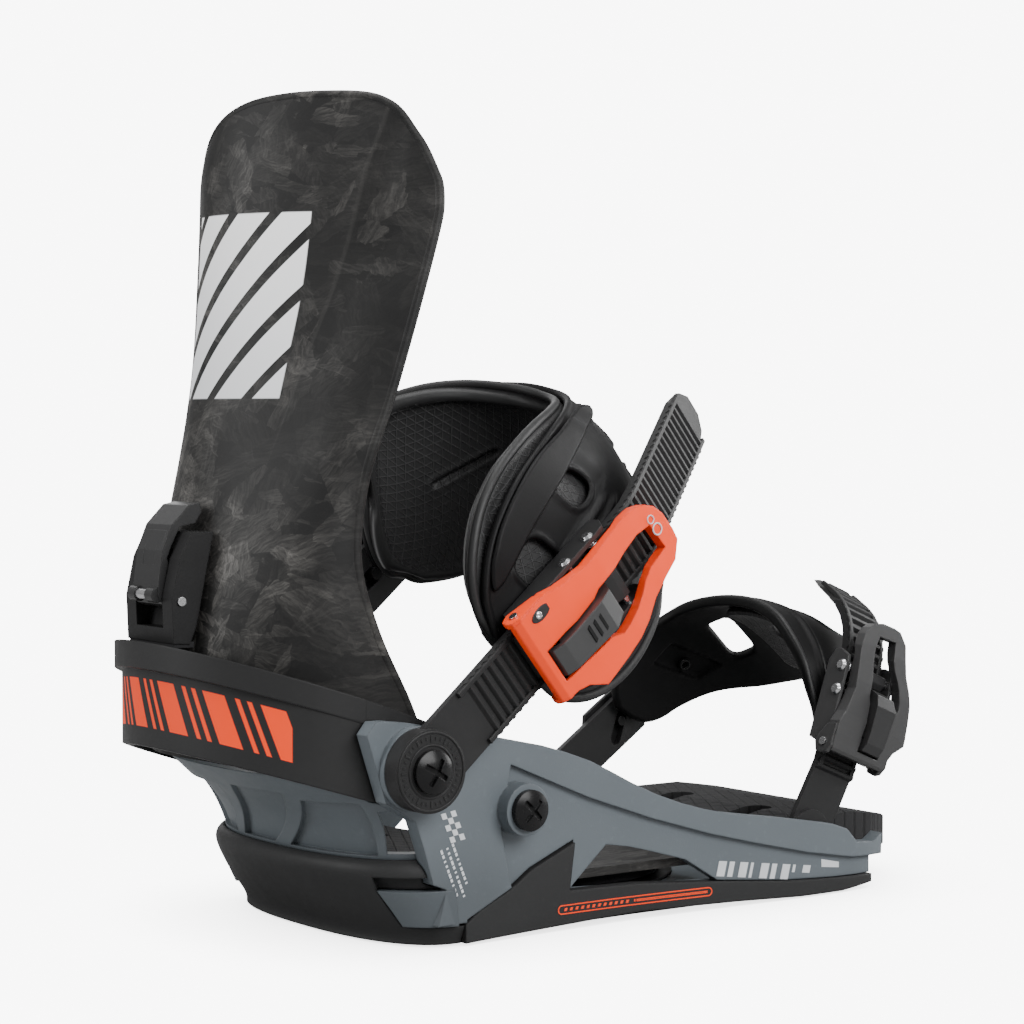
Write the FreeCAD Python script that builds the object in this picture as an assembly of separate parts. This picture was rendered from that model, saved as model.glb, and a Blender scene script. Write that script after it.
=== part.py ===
import FreeCAD, Part
import math, os

# Snowboard strap binding, right foot, millimetres.
# Origin: centre of the mounting disc on the board plane.  +X to the toe, +Y to
# the inner side of the foot, +Z up.  The buckles are on the -Y (outer) side.
# Pieces found on both sides are drawn on the outer side and mirrored.

os.makedirs("parts", exist_ok=True)
V = FreeCAD.Vector

# ---------------------------------------------------------------- driving sizes
FLOOR_BOTTOM, FLOOR_TOP = 2.6, 8.0  # baseplate floor
RAIL_T = 5.2                        # wall of a side rail
RECESS = 2.0                        # lower rail face sits this far inside
DISC_R, DISC_LIP_R = 41.8, 47.6     # mounting disc body and flange
PATTERN = 40.0                      # 4 x 4 board insert pattern
SLOT_R, SLOT_L = 3.2, 11.0          # disc slots for M6 screws
CUP_T = 3.4                         # heelcup wall
SHELL_T = 3.6                       # highback wall
PIVOT = V(-98.4, 0, 59.2)           # axle of highback and ankle strap
CUP_BOLT = V(-55, 0, 42.4)          # bolt that fixes the heelcup to a rail
TOE_LADDER_BOLT = (78.4, 19.9)      # x, z in the outer rail
TOE_CONNECTOR_BOLT = (43.0, 24.0)   # x, z in the inner rail
BOLT_R = 3.0                        # M6 strap bolts
RUN = 0.05                          # running clearance, radial
SNUG = 0.03                         # clearance of a part that does not turn, radial
BOLT_HOLE_R = BOLT_R + 0.15
CUP_SCREW_R = 2.5
CUP_HOLE_R = CUP_SCREW_R + 0.15
LADDER_TH, TOOTH = 2.2, 1.2         # ladder strap thickness and tooth height
PITCH = 3.5                         # tooth pitch
PAD_T = 8.0                         # ankle strap padding
FRAME_T = 2.6                       # ankle strap outer frame
CAP_T = 4.0                         # toe cap
ANKLE_ANGLE, TOE_ANGLE = 38.5, 68.0  # rise of each strap above the board, degrees
PIN_R = 1.5                         # buckle and lean lever pins
SIDES = (-1, 1)                     # outer, inner


def save(name, shape):
    solids = shape.Solids
    result = solids[0] if len(solids) == 1 else Part.makeCompound(solids)
    result.exportStep("parts/%s.step" % name)


# ---------------------------------------------------------------- solids
def polygon_face(points):
    return Part.Face(Part.makePolygon([V(*p) for p in points + points[:1]]))


def prism_xz(points, y0, y1):
    return polygon_face([(x, y0, z) for x, z in points]).extrude(V(0, y1 - y0, 0))


def prism_xy(points, z0, z1):
    return polygon_face([(x, y, z0) for x, y in points]).extrude(V(0, 0, z1 - z0))


def cyl_x(radius, x, z, length):
    return Part.makeCylinder(radius, length, V(x, 0, z), V(1, 0, 0))


def cyl_y(radius, x, z, y, length, side=1):
    # starts at side * y and runs towards that side
    return Part.makeCylinder(radius, length, V(x, side * y, z), V(0, side, 0))


def cyl_z(radius, x, y, z, height):
    return Part.makeCylinder(radius, height, V(x, y, z), V(0, 0, 1))


def box(x0, y0, z0, x1, y1, z1):
    # the two y values may come in either order
    y0, y1 = sorted((y0, y1))
    return Part.makeBox(x1 - x0, y1 - y0, z1 - z0, V(x0, y0, z0))


def slot_z(x0, x1, y, radius, z0, z1):
    # round-ended slot along X; x0 and x1 are the centres of its ends
    slot = box(x0, y - radius, z0, x1, y + radius, z1)
    for x in (x0, x1):
        slot = slot.fuse(cyl_z(radius, x, y, z0, z1 - z0))
    return slot


def cut_cross(shape, x, y, half_length, half_width, z0, z1):
    # cross recess in the top of a screw that stands along Z
    for a, b in ((half_length, half_width), (half_width, half_length)):
        shape = shape.cut(box(x - a, y - b, z0, x + a, y + b, z1))
    return shape


def mirror(shape):
    return shape.mirror(V(0, 0, 0), V(0, 1, 0))


def cut_both(shape, tool):
    return shape.cut(tool).cut(mirror(tool))


def largest(shape):
    return max(shape.Solids, key=lambda solid: solid.Volume)


def fuse(shapes):
    result = shapes[0].multiFuse(shapes[1:])
    try:
        result = result.removeSplitter()
    except Exception:
        pass  # merging coplanar faces may fail; the plain union is kept then
    return result


def symmetric(half):
    # closes a half outline with its mirror image; points on y = 0 are not doubled
    return half + [(x, -y) for x, y in reversed(half) if y]


# ---------------------------------------------------------------- curves and surfaces
def lerp(t, xs, ys):
    if t <= xs[0]:
        return ys[0]
    for i in range(len(xs) - 1):
        if t <= xs[i + 1]:
            u = (t - xs[i]) / (xs[i + 1] - xs[i])
            return ys[i] + u * (ys[i + 1] - ys[i])
    return ys[-1]


def smooth(t, xs, ys):
    # Catmull-Rom through unevenly spaced knots
    last = len(xs) - 1
    if t <= xs[0]:
        return ys[0]
    if t >= xs[-1]:
        return ys[-1]
    i = 0
    while t > xs[i + 1]:
        i += 1

    def slope(k):
        before, after = max(k - 1, 0), min(k + 1, last)
        return (ys[after] - ys[before]) / (xs[after] - xs[before])
    step = xs[i + 1] - xs[i]
    u = (t - xs[i]) / step
    m0, m1 = slope(i) * step, slope(i + 1) * step
    return ((2*u**3 - 3*u**2 + 1) * ys[i] + (u**3 - 2*u**2 + u) * m0
            + (-2*u**3 + 3*u**2) * ys[i + 1] + (u**3 - u**2) * m1)


def spline(points):
    curve = Part.BSplineCurve()
    curve.interpolate([V(*p) for p in points])
    return curve.toShape()


def curved_wall(outer, inner, z0, z1):
    # upright wall between two plan curves, each given as (x, y) points
    a = spline([(x, y, z0) for x, y in outer])
    b = spline([(x, y, z0) for x, y in inner])
    wire = Part.Wire([a, Part.makeLine(a.Vertexes[-1].Point, b.Vertexes[-1].Point), b,
                      Part.makeLine(b.Vertexes[0].Point, a.Vertexes[0].Point)])
    return Part.Face(wire).extrude(V(0, 0, z1 - z0))


def grid_surface(grid):
    surface = Part.BSplineSurface()
    surface.interpolate(grid)
    return surface


def borders(surface):
    u0, u1, v0, v1 = surface.bounds()
    return [surface.uIso(u0), surface.uIso(u1), surface.vIso(v0), surface.vIso(v1)]


def ruled(a, b):
    # ruled strip joining start to start and end to end of two curves;
    # the second curve is reversed if the first strip comes out crossed
    start_a, start_b = a.value(a.FirstParameter), b.value(b.FirstParameter)
    for flip in (False, True):
        c = b.copy()
        if flip:
            c.reverse()
        strip = Part.makeRuledSurface(a.toShape(), c.toShape())
        for edge in strip.Edges:
            p, q = edge.Vertexes[0].Point, edge.Vertexes[-1].Point
            for one, other in ((p, q), (q, p)):
                if (one.distanceToPoint(start_a) < 1e-3
                        and other.distanceToPoint(start_b) < 1e-3):
                    return strip
    return strip


def grid_solid(outer, inner):
    # closed solid between two point grids of the same size
    outer_surface, inner_surface = grid_surface(outer), grid_surface(inner)
    faces = [outer_surface.toShape(), inner_surface.toShape()]
    for a, b in zip(borders(outer_surface), borders(inner_surface)):
        faces.append(ruled(a, b))
    shell = Part.makeShell(faces)
    shell.sewShape(0.01)
    solid = Part.makeSolid(Part.Shell(shell.Faces))
    if solid.Volume < 0:
        solid.reverse()
    return solid


def offset_grid(grid, distance):
    # points moved along the grid's normals: forward on the highback,
    # away from the foot on the straps
    rows, columns = len(grid), len(grid[0])
    result = []
    for i in range(rows):
        row = []
        for j in range(columns):
            a = grid[min(i + 1, rows - 1)][j] - grid[max(i - 1, 0)][j]
            b = grid[i][min(j + 1, columns - 1)] - grid[i][max(j - 1, 0)]
            normal = a.cross(b)
            normal.normalize()
            row.append(grid[i][j] + normal * distance)
        result.append(row)
    return result


# ---------------------------------------------------------------- side rails
# plan line of a rail's outer face: x, distance from the centre line
SIDE = [(-160, 64), (-115, 64), (-72, 61), (-30, 60), (0, 60.5), (40, 63), (80, 65.5),
        (105, 64), (118, 58), (124, 50), (128, 40)]

# side view outlines, (x, z)
RAIL_CREASE = [(-57.8, 56.9), (-24.8, 43.2), (2.2, 33.7), (27.1, 26.2), (48.3, 20.9),
               (70.5, 15.8), (92.2, 12.0), (110.2, 11.1)]
RAIL_TOP = [(110.7, 18.6), (104, 16.2), (94.9, 17.2), (89.6, 22.4), (82.6, 24.8),
            (72.2, 26.6), (58.9, 28.9), (45.8, 30.9), (35.1, 32.6), (24.5, 35), (14, 38.1),
            (3.7, 41.9), (-6.7, 46.7), (-15.1, 51), (-24.4, 55.4), (-34.7, 59.1),
            (-45, 62.2), (-63.5, 66.3), (-80, 69.6), (-97.4, 73.1), (-108, 74.6),
            (-113.3, 74.7)]
RAIL_REAR = [(-116.6, 70.8), (-109.1, 48.9), (-97.4, 42.0), (-94.0, 33.2), (-90.1, 21.1),
             (-84.6, 18.9)]
RAIL_FOOT = [(-88, 7.3), (-75.5, 7.3), (-75.5, FLOOR_BOTTOM), (104, FLOOR_BOTTOM),
             (104, 10.8), (110.2, 11.1)]
RAIL_ARM = [(-113.3, 74.7), (-97.4, 73.1), (-63.5, 66.3), (-57.8, 56.9), (-62, 36),
            (-57.5, 16.4), (-70.5, 10.6), (-75.5, 7.3), (-88, 7.3)] + RAIL_REAR[::-1]
RAIL_WINDOW = [(-15.9, 26.2), (-6.2, 24.6), (3.7, 22.0), (18.2, 17.8), (32, 9.4),
               (-31.7, 12.8)]


def side_y(x):
    return smooth(x, *zip(*SIDE))


def plan_line(depth, xs):
    # outer side plan line moved inwards by depth
    return [(x, -(side_y(x) - depth)) for x in xs]


def spaced(x0, x1, count):
    return [x0 + (x1 - x0) * i / count for i in range(count + 1)]


def band(outer_depth, inner_depth, z0=-2.0):
    # outer side upright wall between two offsets of the plan line
    xs = spaced(-125.0, 116.0, 16)
    return curved_wall(plan_line(outer_depth, xs), plan_line(inner_depth, xs), z0, 95.0)


def rail_prism(points):
    return prism_xz(points, -80, -30)


def make_rail():
    lower = rail_prism(RAIL_TOP + RAIL_REAR + RAIL_FOOT).common(band(RECESS, RAIL_T + 0.6))
    upper_outline = RAIL_TOP + RAIL_REAR[:3] + [(-78, 41), (-70, 52)] + RAIL_CREASE
    upper = rail_prism(upper_outline).common(band(0.0, RAIL_T))
    arm = rail_prism(RAIL_ARM).common(band(0.0, RAIL_T))
    cup_boss = cyl_y(8.6, CUP_BOLT.x, CUP_BOLT.z, -66.0, 7.5)
    pivot_boss = cyl_y(13.4, PIVOT.x, PIVOT.z, -66.4, 5.0)
    rail = fuse([lower, upper, arm, cup_boss, pivot_boss])
    rail = rail.cut(rail_prism(RAIL_WINDOW))
    rail = rail.cut(cyl_y(BOLT_HOLE_R, PIVOT.x, PIVOT.z, -80, 40))
    return rail.cut(cyl_y(CUP_HOLE_R, CUP_BOLT.x, CUP_BOLT.z, -80, 40))


# ---------------------------------------------------------------- heel wall
# height, rear point x, half width, x of the open ends
WALL_Z = [3, 22, 40, 56.5]
WALL_REAR = [-97, -108.5, -117.5, -136]
WALL_HALF = [56.0, 57.2, 59.3, 60.4]
WALL_FRONT = [-76, -78, -84, -92]
WALL_LEVELS = [3, 9, 15, 22, 28, 34, 40, 46, 51, 56.5]
WALL_POWER = 0.82    # squareness of the rounded plan; 1 would be an ellipse


def wall_row(z, depth, angles=None):
    # points at height z, depth inwards from the outer face; angle 0 is the
    # rearmost point and negative angles lie on the outer side
    angles = angles or [math.pi * i / 24.0 - math.pi / 2 for i in range(25)]
    level = max(z, WALL_Z[0])
    rear = smooth(level, WALL_Z, WALL_REAR) + (z - level) * 0.75 + depth
    half = smooth(level, WALL_Z, WALL_HALF) - depth
    front = smooth(level, WALL_Z, WALL_FRONT)
    row = []
    for angle in angles:
        c = abs(math.cos(angle)) ** WALL_POWER
        s = math.copysign(abs(math.sin(angle)) ** WALL_POWER, math.sin(angle))
        row.append(V(front - (front - rear) * c, half * s, z))
    return row


def wall_patch(z0, z1, start, end, depth0, depth1):
    # block of the heel wall; start and end are angles (bottom, top) in degrees
    def row(z, depth):
        rise = (z - z0) / float(z1 - z0)
        first = start[0] + rise * (start[1] - start[0])
        last = end[0] + rise * (end[1] - end[0])
        angles = [math.radians(first + (last - first) * i / 8.0) for i in range(9)]
        return wall_row(z, depth, angles)
    levels = [z0 + (z1 - z0) * k / 4.0 for k in range(5)]
    return grid_solid([row(z, depth0) for z in levels], [row(z, depth1) for z in levels])


def make_heel_wall():
    wall = grid_solid([wall_row(z, 0) for z in WALL_LEVELS],
                      [wall_row(z, 5 if z < 45 else 4.4) for z in WALL_LEVELS])
    # three shallow panels, then an open window beside each arm
    for patch in ((29.6, 49.5, (14, 0), (-1, -23), -2.0, 2.0),
                  (29.6, 47.5, (-8, -29), (-52, -56), -2.0, 2.0),
                  (29.6, 48.5, (20, 8), (52, 56), -2.0, 2.0),
                  (30.4, 45.0, (-57, -62), (-84, -84), -4.0, 9.0),
                  (30.4, 45.0, (57, 62), (84, 84), -4.0, 9.0)):
        wall = wall.cut(wall_patch(*patch))
    return wall


# ---------------------------------------------------------------- heelcup
CUP_SIDE = [(-44, 54.8), (-55, 55.0), (-70, 56.0), (-88, 57.0), (-98, 57.3)]  # x, half width
CUP_REAR_X, CUP_HALF, CUP_DEPTH = -104, 57.5, 55.3   # rounded rear of the plan
# upper and lower edges in side view, (x, z)
CUP_UPPER = [(-46, 38), (-47, 47), (-56, 56), (-76, 68.6), (-90, 73.2), (-104, 78.4),
             (-130, 87.6), (-163, 98.8)]
CUP_LOWER = [(-163, 65.8), (-130, 55.2), (-112, 49.4), (-96, 45.8), (-80, 42.2), (-66, 37),
             (-50, 35)]


def cup_plan(depth, extra=0.0):
    # plan curve, depth inwards from the outer face; extra pushes the rear back
    points = [(x, -(y - depth)) for x, y in CUP_SIDE]
    half, reach = CUP_HALF - depth, CUP_DEPTH + extra - depth * 1.05
    for i in range(1, 20):
        angle = -math.pi / 2 + math.pi * i / 20
        points.append((CUP_REAR_X - reach * math.cos(angle), half * math.sin(angle)))
    return points + [(x, y - depth) for x, y in reversed(CUP_SIDE)]


def cup_wall(outer_depth, inner_depth, z0, z1, extra=0.0):
    return curved_wall(cup_plan(outer_depth, extra), cup_plan(inner_depth), z0, z1)


def make_heelcup():
    cup = cup_wall(0, CUP_T, 30, 120).common(prism_xz(CUP_UPPER + CUP_LOWER, -70, 70))
    lip_outline = [(-112, 73.5), (-112, 81.3), (-163, 98.8), (-163, 90.2)]
    lip = cup_wall(-0.1, CUP_T, 30, 120, extra=3.0).common(prism_xz(lip_outline, -70, 70))
    cup = fuse([cup, lip])
    for side in SIDES:
        cup = cup.cut(cyl_y(BOLT_HOLE_R, PIVOT.x, PIVOT.z, 40, 40, side))
        cup = cup.cut(cyl_y(CUP_HOLE_R, CUP_BOLT.x, CUP_BOLT.z, 40, 40, side))
    return cup


def make_cup_room():
    # space the heelcup takes in the baseplate, with clearance all round
    outline = ([(-43, 34), (-43, 52)] + [(x, z + 0.4) for x, z in CUP_UPPER[2:]]
               + [(x, z - 0.4) for x, z in CUP_LOWER[:-1]] + [(-50, 34)])
    return cup_wall(-0.35, CUP_T + 0.35, 20, 130).common(prism_xz(outline, -70, 70))


# ---------------------------------------------------------------- baseplate
RAMP_SCREW_X, RAMP_SCREW_Y = 84, 22
# space under each rail for its side bumper, (x, z)
SILL_ROOM = [(-76, 2), (-76, 8.2), (-70.5, 10.6), (-57.5, 16.2), (-48.9, 21.7),
             (-29.9, 29.3), (-31.7, 12.9), (-2.5, 12.2), (32, 9.4), (34, 9.2), (61, 6.6),
             (84, 5.4), (106, 4.8), (106, 2)]


def make_baseplate(rail):
    floor_outline = symmetric(plan_line(RAIL_T - 1.5, spaced(-74.0, 104.0, 18)))
    floor = prism_xy(floor_outline, FLOOR_BOTTOM, FLOOR_TOP)
    heel_half = [(-74, -54.5), (-84, -46), (-91, -28), (-94.5, 0)]
    heel_floor = prism_xy(symmetric(heel_half), FLOOR_BOTTOM, FLOOR_TOP)
    # tongue that reaches from each arm into the heel bumper
    tongue = wall_patch(6.6, 18.6, (-54, -47.5), (-86, -86), -5.6, 1.0)
    base = fuse([rail, mirror(rail), floor, heel_floor, make_heel_wall(),
                 tongue, mirror(tongue)])
    disc_hole = cyl_z(DISC_R + 0.25, 0, 0, -1, 12).fuse(
        cyl_z(DISC_LIP_R + 0.25, 0, 0, 5.0, 8))
    base = base.cut(disc_hole)
    base = cut_both(base, rail_prism(SILL_ROOM).common(band(-4.0, RAIL_T + 0.15, z0=-6.0)))
    for side in SIDES:
        base = base.cut(cyl_y(11.6, PIVOT.x, PIVOT.z, 40, 13.9, side))
        base = base.cut(cyl_y(BOLT_HOLE_R, PIVOT.x, PIVOT.z, 40, 35, side))
        base = base.cut(cyl_y(CUP_HOLE_R, CUP_BOLT.x, CUP_BOLT.z, 40, 30, side))
    for y in (RAMP_SCREW_Y, -RAMP_SCREW_Y):
        base = base.cut(cyl_z(2.05, RAMP_SCREW_X, y, -1, 12))
    base = base.cut(cyl_y(BOLT_R + 0.1, *TOE_LADDER_BOLT, 56, 6.5, -1))
    base = base.cut(cyl_y(BOLT_R + 0.1, *TOE_CONNECTOR_BOLT, 54, 7.5))
    return largest(base.cut(make_cup_room()))


# ---------------------------------------------------------------- bumpers and base plates
# side bumper: corner foot, sill and toe strip in side view, (x, z)
SILL = [(-76, 0.3), (-76, 6.6), (-70.3, 10.1), (-57.2, 15.7), (-48.5, 21.2), (-30.2, 28.4),
        (-32.4, 12.6), (-29, 12.4), (-2.5, 11.8), (32, 9.0), (61, 6.3), (84, 5.1),
        (104, 4.5), (104, 1.6), (88, 0.1), (68, 0.1), (39, 1.2), (-2.5, 2.2), (-31.6, 1.4)]
# heel bumper: height, thickness
BUMPER_LEVELS = [(0.2, 1.6), (6, 3.6), (12, 4.8), (18, 5.2), (22.5, 5.0), (28.6, 1.0)]
BUMPER_GAP = 0.35    # between heel wall and bumper


def make_heel_bumper(rail):
    # wraps the foot of the heel wall
    bumper = grid_solid([wall_row(z, -t - BUMPER_GAP) for z, t in BUMPER_LEVELS],
                        [wall_row(z, -BUMPER_GAP) for z, t in BUMPER_LEVELS])
    bumper = bumper.cut(box(-76.3, -80, -5, -40, 80, 32))
    arm_room = [(-88.4, 6.2), (-84.9, 19.2), (-90.5, 21.5), (-91.5, 32), (-60, 32),
                (-60, 6.2)]
    bumper = cut_both(bumper, prism_xz(arm_room, -80, -56.0))
    tongue_room = wall_patch(6.2, 19.0, (-53.3, -46.8), (-88, -88), -9.0, 1.4)
    slot = wall_patch(18.8, 23.2, (-47.5, -47.5), (-88, -88), -9.0, -2.4)
    bumper = cut_both(cut_both(bumper, tongue_room), slot)
    # shifted rails leave clearance around the arms
    for dx, dz in ((-0.3, 0.25), (-0.3, -0.25), (0.0, 0.0)):
        shifted = rail.copy()
        shifted.translate(V(dx, 0, dz))
        bumper = cut_both(bumper, shifted)
    return largest(bumper)


def make_toe_bumper():
    # strip along the front edge of the floor
    half = [(104.4, -58), (112, -52), (117, -40), (119, -20), (119.5, 0)]
    return prism_xy(symmetric(half), FLOOR_BOTTOM, FLOOR_TOP)


def make_gasket():
    # soft sheet between floor and board
    outline = symmetric(plan_line(7.5, (-70, -40, 0, 40, 80, 102)))
    return prism_xy(outline, 0.0, 2.4).cut(cyl_z(46, 0, 0, -1, 5))


def make_carbon_plate():
    # stiffening plate seen in the side windows
    return prism_xy(symmetric([(-40, -52), (34, -54)]), 14.6, 17.6)


# ---------------------------------------------------------------- mounting disc
DISC_BODY_H, DISC_LIP_H = 5.2, 3.6
COUNTERBORE_R, COUNTERBORE_Z = 6.4, 3.4


def make_mounting_disc():
    disc = cyl_z(DISC_R, 0, 0, 0.0, DISC_BODY_H).fuse(
        cyl_z(DISC_LIP_R, 0, 0, DISC_BODY_H, DISC_LIP_H))
    disc = disc.cut(cyl_z(30, 0, 0, 6.4, 4))
    half = SLOT_L / 2 - SLOT_R
    for side_x in SIDES:
        for side_y_ in SIDES:
            x, y = side_x * PATTERN / 2, side_y_ * PATTERN / 2
            for radius, z0 in ((SLOT_R, -1), (COUNTERBORE_R, COUNTERBORE_Z)):
                disc = disc.cut(slot_z(x - half, x + half, y, radius, z0, 12))
    return disc.removeSplitter()


# ---------------------------------------------------------------- footbed
# side views (x, z) and outer halves of the plans (x, y)
HEEL_BED_SIDE = [(-99, 8.6), (-104.5, 22.8), (-95, 23.6), (-60, 22.0), (-46, 13.4),
                 (-44, 8.6)]
HEEL_BED_HALF = [(-44, -50), (-70, -50.5), (-86, -46), (-97, -32), (-103, -14), (-104.6, 0)]
TREAD_HALF = [(-54, 0), (-56, -20), (-60, -36), (-78, -37), (-92, -28), (-98, -12)]
RAMP_SIDE = [(48.5, 8.6), (100, 8.9), (121, 9.2), (131, 11.5), (134.5, 15.5),
             (133.5, 18.6), (126, 22.2), (108, 25.0), (84, 25.2), (66, 22.2), (50, 16.6)]
RAMP_HALF = [(44, -40), (50, -49.0), (98, -49.4), (118, -49.0), (128, -45.5),
             (132.5, -38), (134.2, -24), (134.8, 0)]


def make_footbed_heel():
    bed = prism_xz(HEEL_BED_SIDE, -60, 60).common(prism_xy(symmetric(HEEL_BED_HALF), 0, 60))
    bed = bed.cut(cyl_z(48.4, 0, 0, 0, 40))
    wall_room = grid_solid([wall_row(z, -1) for z in WALL_LEVELS],
                           [wall_row(z, 5.5) for z in WALL_LEVELS])
    return largest(bed.cut(wall_room))


def make_heel_tread():
    tread = prism_xy(symmetric(TREAD_HALF), 24.0, 27.0)
    return tread.cut(box(-84, -2.6, 20, -66, 2.6, 30))


def make_toe_ramp():
    ramp = prism_xz(RAMP_SIDE, -60, 60).common(prism_xy(symmetric(RAMP_HALF), 0, 60))
    ramp = ramp.cut(cyl_z(49.2, 0, 0, 0, 40))
    # screw slots with wider slots above them for the heads
    for y in (-RAMP_SCREW_Y, RAMP_SCREW_Y):
        ramp = ramp.cut(slot_z(73, 87, y, 2.3, 0, 30))
        ramp = ramp.cut(slot_z(73, 87, y, 4.6, 12.5, 30))
    return ramp


def make_ramp_screws():
    screws = []
    for y in (-RAMP_SCREW_Y, RAMP_SCREW_Y):
        screw = cyl_z(2.0, RAMP_SCREW_X, y, 2.8, 10.2).fuse(
            cyl_z(4.2, RAMP_SCREW_X, y, 12.8, 2.6))
        screws.append(cut_cross(screw, RAMP_SCREW_X, y, 2, 0.5, 14.2, 17))
    return Part.makeCompound(screws)


# ---------------------------------------------------------------- side fasteners
CUP_SCREW_END = 48.4    # distance of the screw's inner end from the centre line


def dome_screw(side, centre, y_head, y_end, head_r, head_h, dome_r, dome_drop, shaft_r,
               cross_half, cross_half_width, turn):
    # cross-head dome screw along Y; the dome's centre is dome_drop inside y_head
    x, z = centre.x, centre.z
    dome = Part.makeSphere(dome_r, V(x, side * (y_head - dome_drop), z)).common(
        cyl_y(head_r, x, z, y_head + head_h, 4, side))
    screw = cyl_y(head_r, x, z, y_head, head_h, side).fuse(dome)
    screw = screw.fuse(cyl_y(shaft_r, x, z, y_end, y_head - y_end + 0.5, side))
    for angle in (turn, turn + 90):
        recess = box(x - cross_half, side * (y_head + head_h + 0.4), z - cross_half_width,
                     x + cross_half, side * (y_head + 6), z + cross_half_width)
        recess.rotate(V(x, 0, z), V(0, 1, 0), angle)
        screw = screw.cut(recess)
    return screw


def make_cup_bolts():
    # heelcup adjusting bolts through the rails
    return Part.makeCompound([
        dome_screw(side, CUP_BOLT, y_head=66.2, y_end=CUP_SCREW_END, head_r=6.75,
                   head_h=1.6, dome_r=16, dome_drop=12.6, shaft_r=CUP_SCREW_R,
                   cross_half=4.4, cross_half_width=0.8, turn=45)
        for side in SIDES])


def make_cup_nut_plates():
    plates = []
    x, z = CUP_BOLT.x, CUP_BOLT.z
    for side in SIDES:
        plate = box(x - 6, side * CUP_SCREW_END, z - 5,
                    x + 6, side * (CUP_SCREW_END + 2.5), z + 5)
        plates.append(plate.cut(cyl_y(CUP_SCREW_R + SNUG, x, z, 45, 12, side)))
    return Part.makeCompound(plates)


def make_ankle_bolts():
    return Part.makeCompound([
        dome_screw(side, PIVOT, y_head=73.4, y_end=43.6, head_r=7.0, head_h=1.2,
                   dome_r=14, dome_drop=10.6, shaft_r=BOLT_R,
                   cross_half=4.6, cross_half_width=0.85, turn=30)
        for side in SIDES])


def make_ankle_nuts():
    # round nuts with a flat above and below
    nuts = []
    x, z = PIVOT.x, PIVOT.z
    for side in SIDES:
        nut = cyl_y(7.6, x, z, 43.8, 3.0, side)
        nut = nut.cut(cyl_y(BOLT_R + SNUG, x, z, 40, 9, side))
        for bottom, top in ((6.4, 9), (-9, -6.4)):
            nut = nut.cut(box(x - 8, side * 43, z + bottom, x + 8, side * 48, z + top))
        nuts.append(nut)
    return Part.makeCompound(nuts)


def make_toe_bolts():
    # heads lie inside the rails; y_seat is the outer face of the head
    bolts = []
    for (x, z), side, y_seat in ((TOE_LADDER_BOLT, -1, 54.2), (TOE_CONNECTOR_BOLT, 1, 53.9)):
        bolt = cyl_y(5.4, x, z, y_seat - 2.8, 2.8, side).fuse(
            cyl_y(BOLT_R, x, z, y_seat - 1, 7.2, side))
        for a, b in ((2.8, 0.8), (0.8, 2.8)):
            bolt = bolt.cut(box(x - a, side * (y_seat - 4), z - b,
                                x + a, side * (y_seat - 1.6), z + b))
        bolts.append(bolt)
    return Part.makeCompound(bolts)


# ---------------------------------------------------------------- highback
# horizontal sections of the rear face: one row of (x, y) per height, from the
# outer edge (-1) through the rear to the inner edge (1)
SECTION_Z = [55, 76, 100, 124, 150, 178, 215, 243, 262, 280]
SECTION_S = [-1, -0.75, -0.5, -0.25, 0, 0.25, 0.5, 0.75, 1]
SECTIONS = [
    [(-84, -52), (-104, -50.6), (-126, -42), (-141, -27), (-148, 0),
     (-141, 27), (-126, 42), (-104, 50.6), (-84, 52)],
    [(-92, -52.4), (-112, -50.6), (-130, -42), (-144, -27), (-150.2, 0),
     (-144, 27), (-130, 42), (-112, 50.6), (-92, 52.4)],
    [(-105, -53.0), (-120, -50), (-134, -40), (-144.5, -24), (-149, 0),
     (-144.6, 23), (-134, 38.5), (-120, 48.5), (-105, 52)],
    [(-112.5, -52.5), (-123, -48), (-134, -37), (-141.5, -21), (-144.0, 0.5),
     (-141, 20.3), (-132.8, 35.5), (-123, 45.5), (-112, 49.5)],
    [(-109, -51), (-118, -45), (-126, -34), (-134, -19), (-138.4, 0.5),
     (-136.9, 16.9), (-130.4, 29.8), (-122.4, 39.8), (-113.4, 44.8)],
    [(-98, -50), (-107.5, -43), (-117, -32), (-127, -17), (-133.1, 0),
     (-132.3, 15.1), (-127, 26.4), (-119.5, 36.4), (-109.5, 41.9)],
    [(-85.5, -49.5), (-94, -41.5), (-104, -31), (-117, -17), (-124.9, -1.5),
     (-127.4, 12.9), (-124.5, 24.9), (-117.5, 35.9), (-106.5, 41.9)],
    [(-76, -47.5), (-84, -41), (-96, -33), (-110, -18), (-119.1, -3.6),
     (-124.1, 11.7), (-122.5, 24.9), (-116.5, 36.4), (-106.5, 42.9)],
    [(-72.5, -46), (-80, -40.5), (-90, -34.5), (-105, -19), (-114.7, -5.4),
     (-120.5, 10.2), (-120.1, 23.7), (-114.6, 35.2), (-106.1, 41.7)],
    [(-67, -44.5), (-74, -40), (-84, -34), (-99, -19.5), (-109.2, -6.5),
     (-115.8, 8), (-116.4, 20.9), (-111.9, 32.9), (-103.9, 39.4)]]
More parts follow.
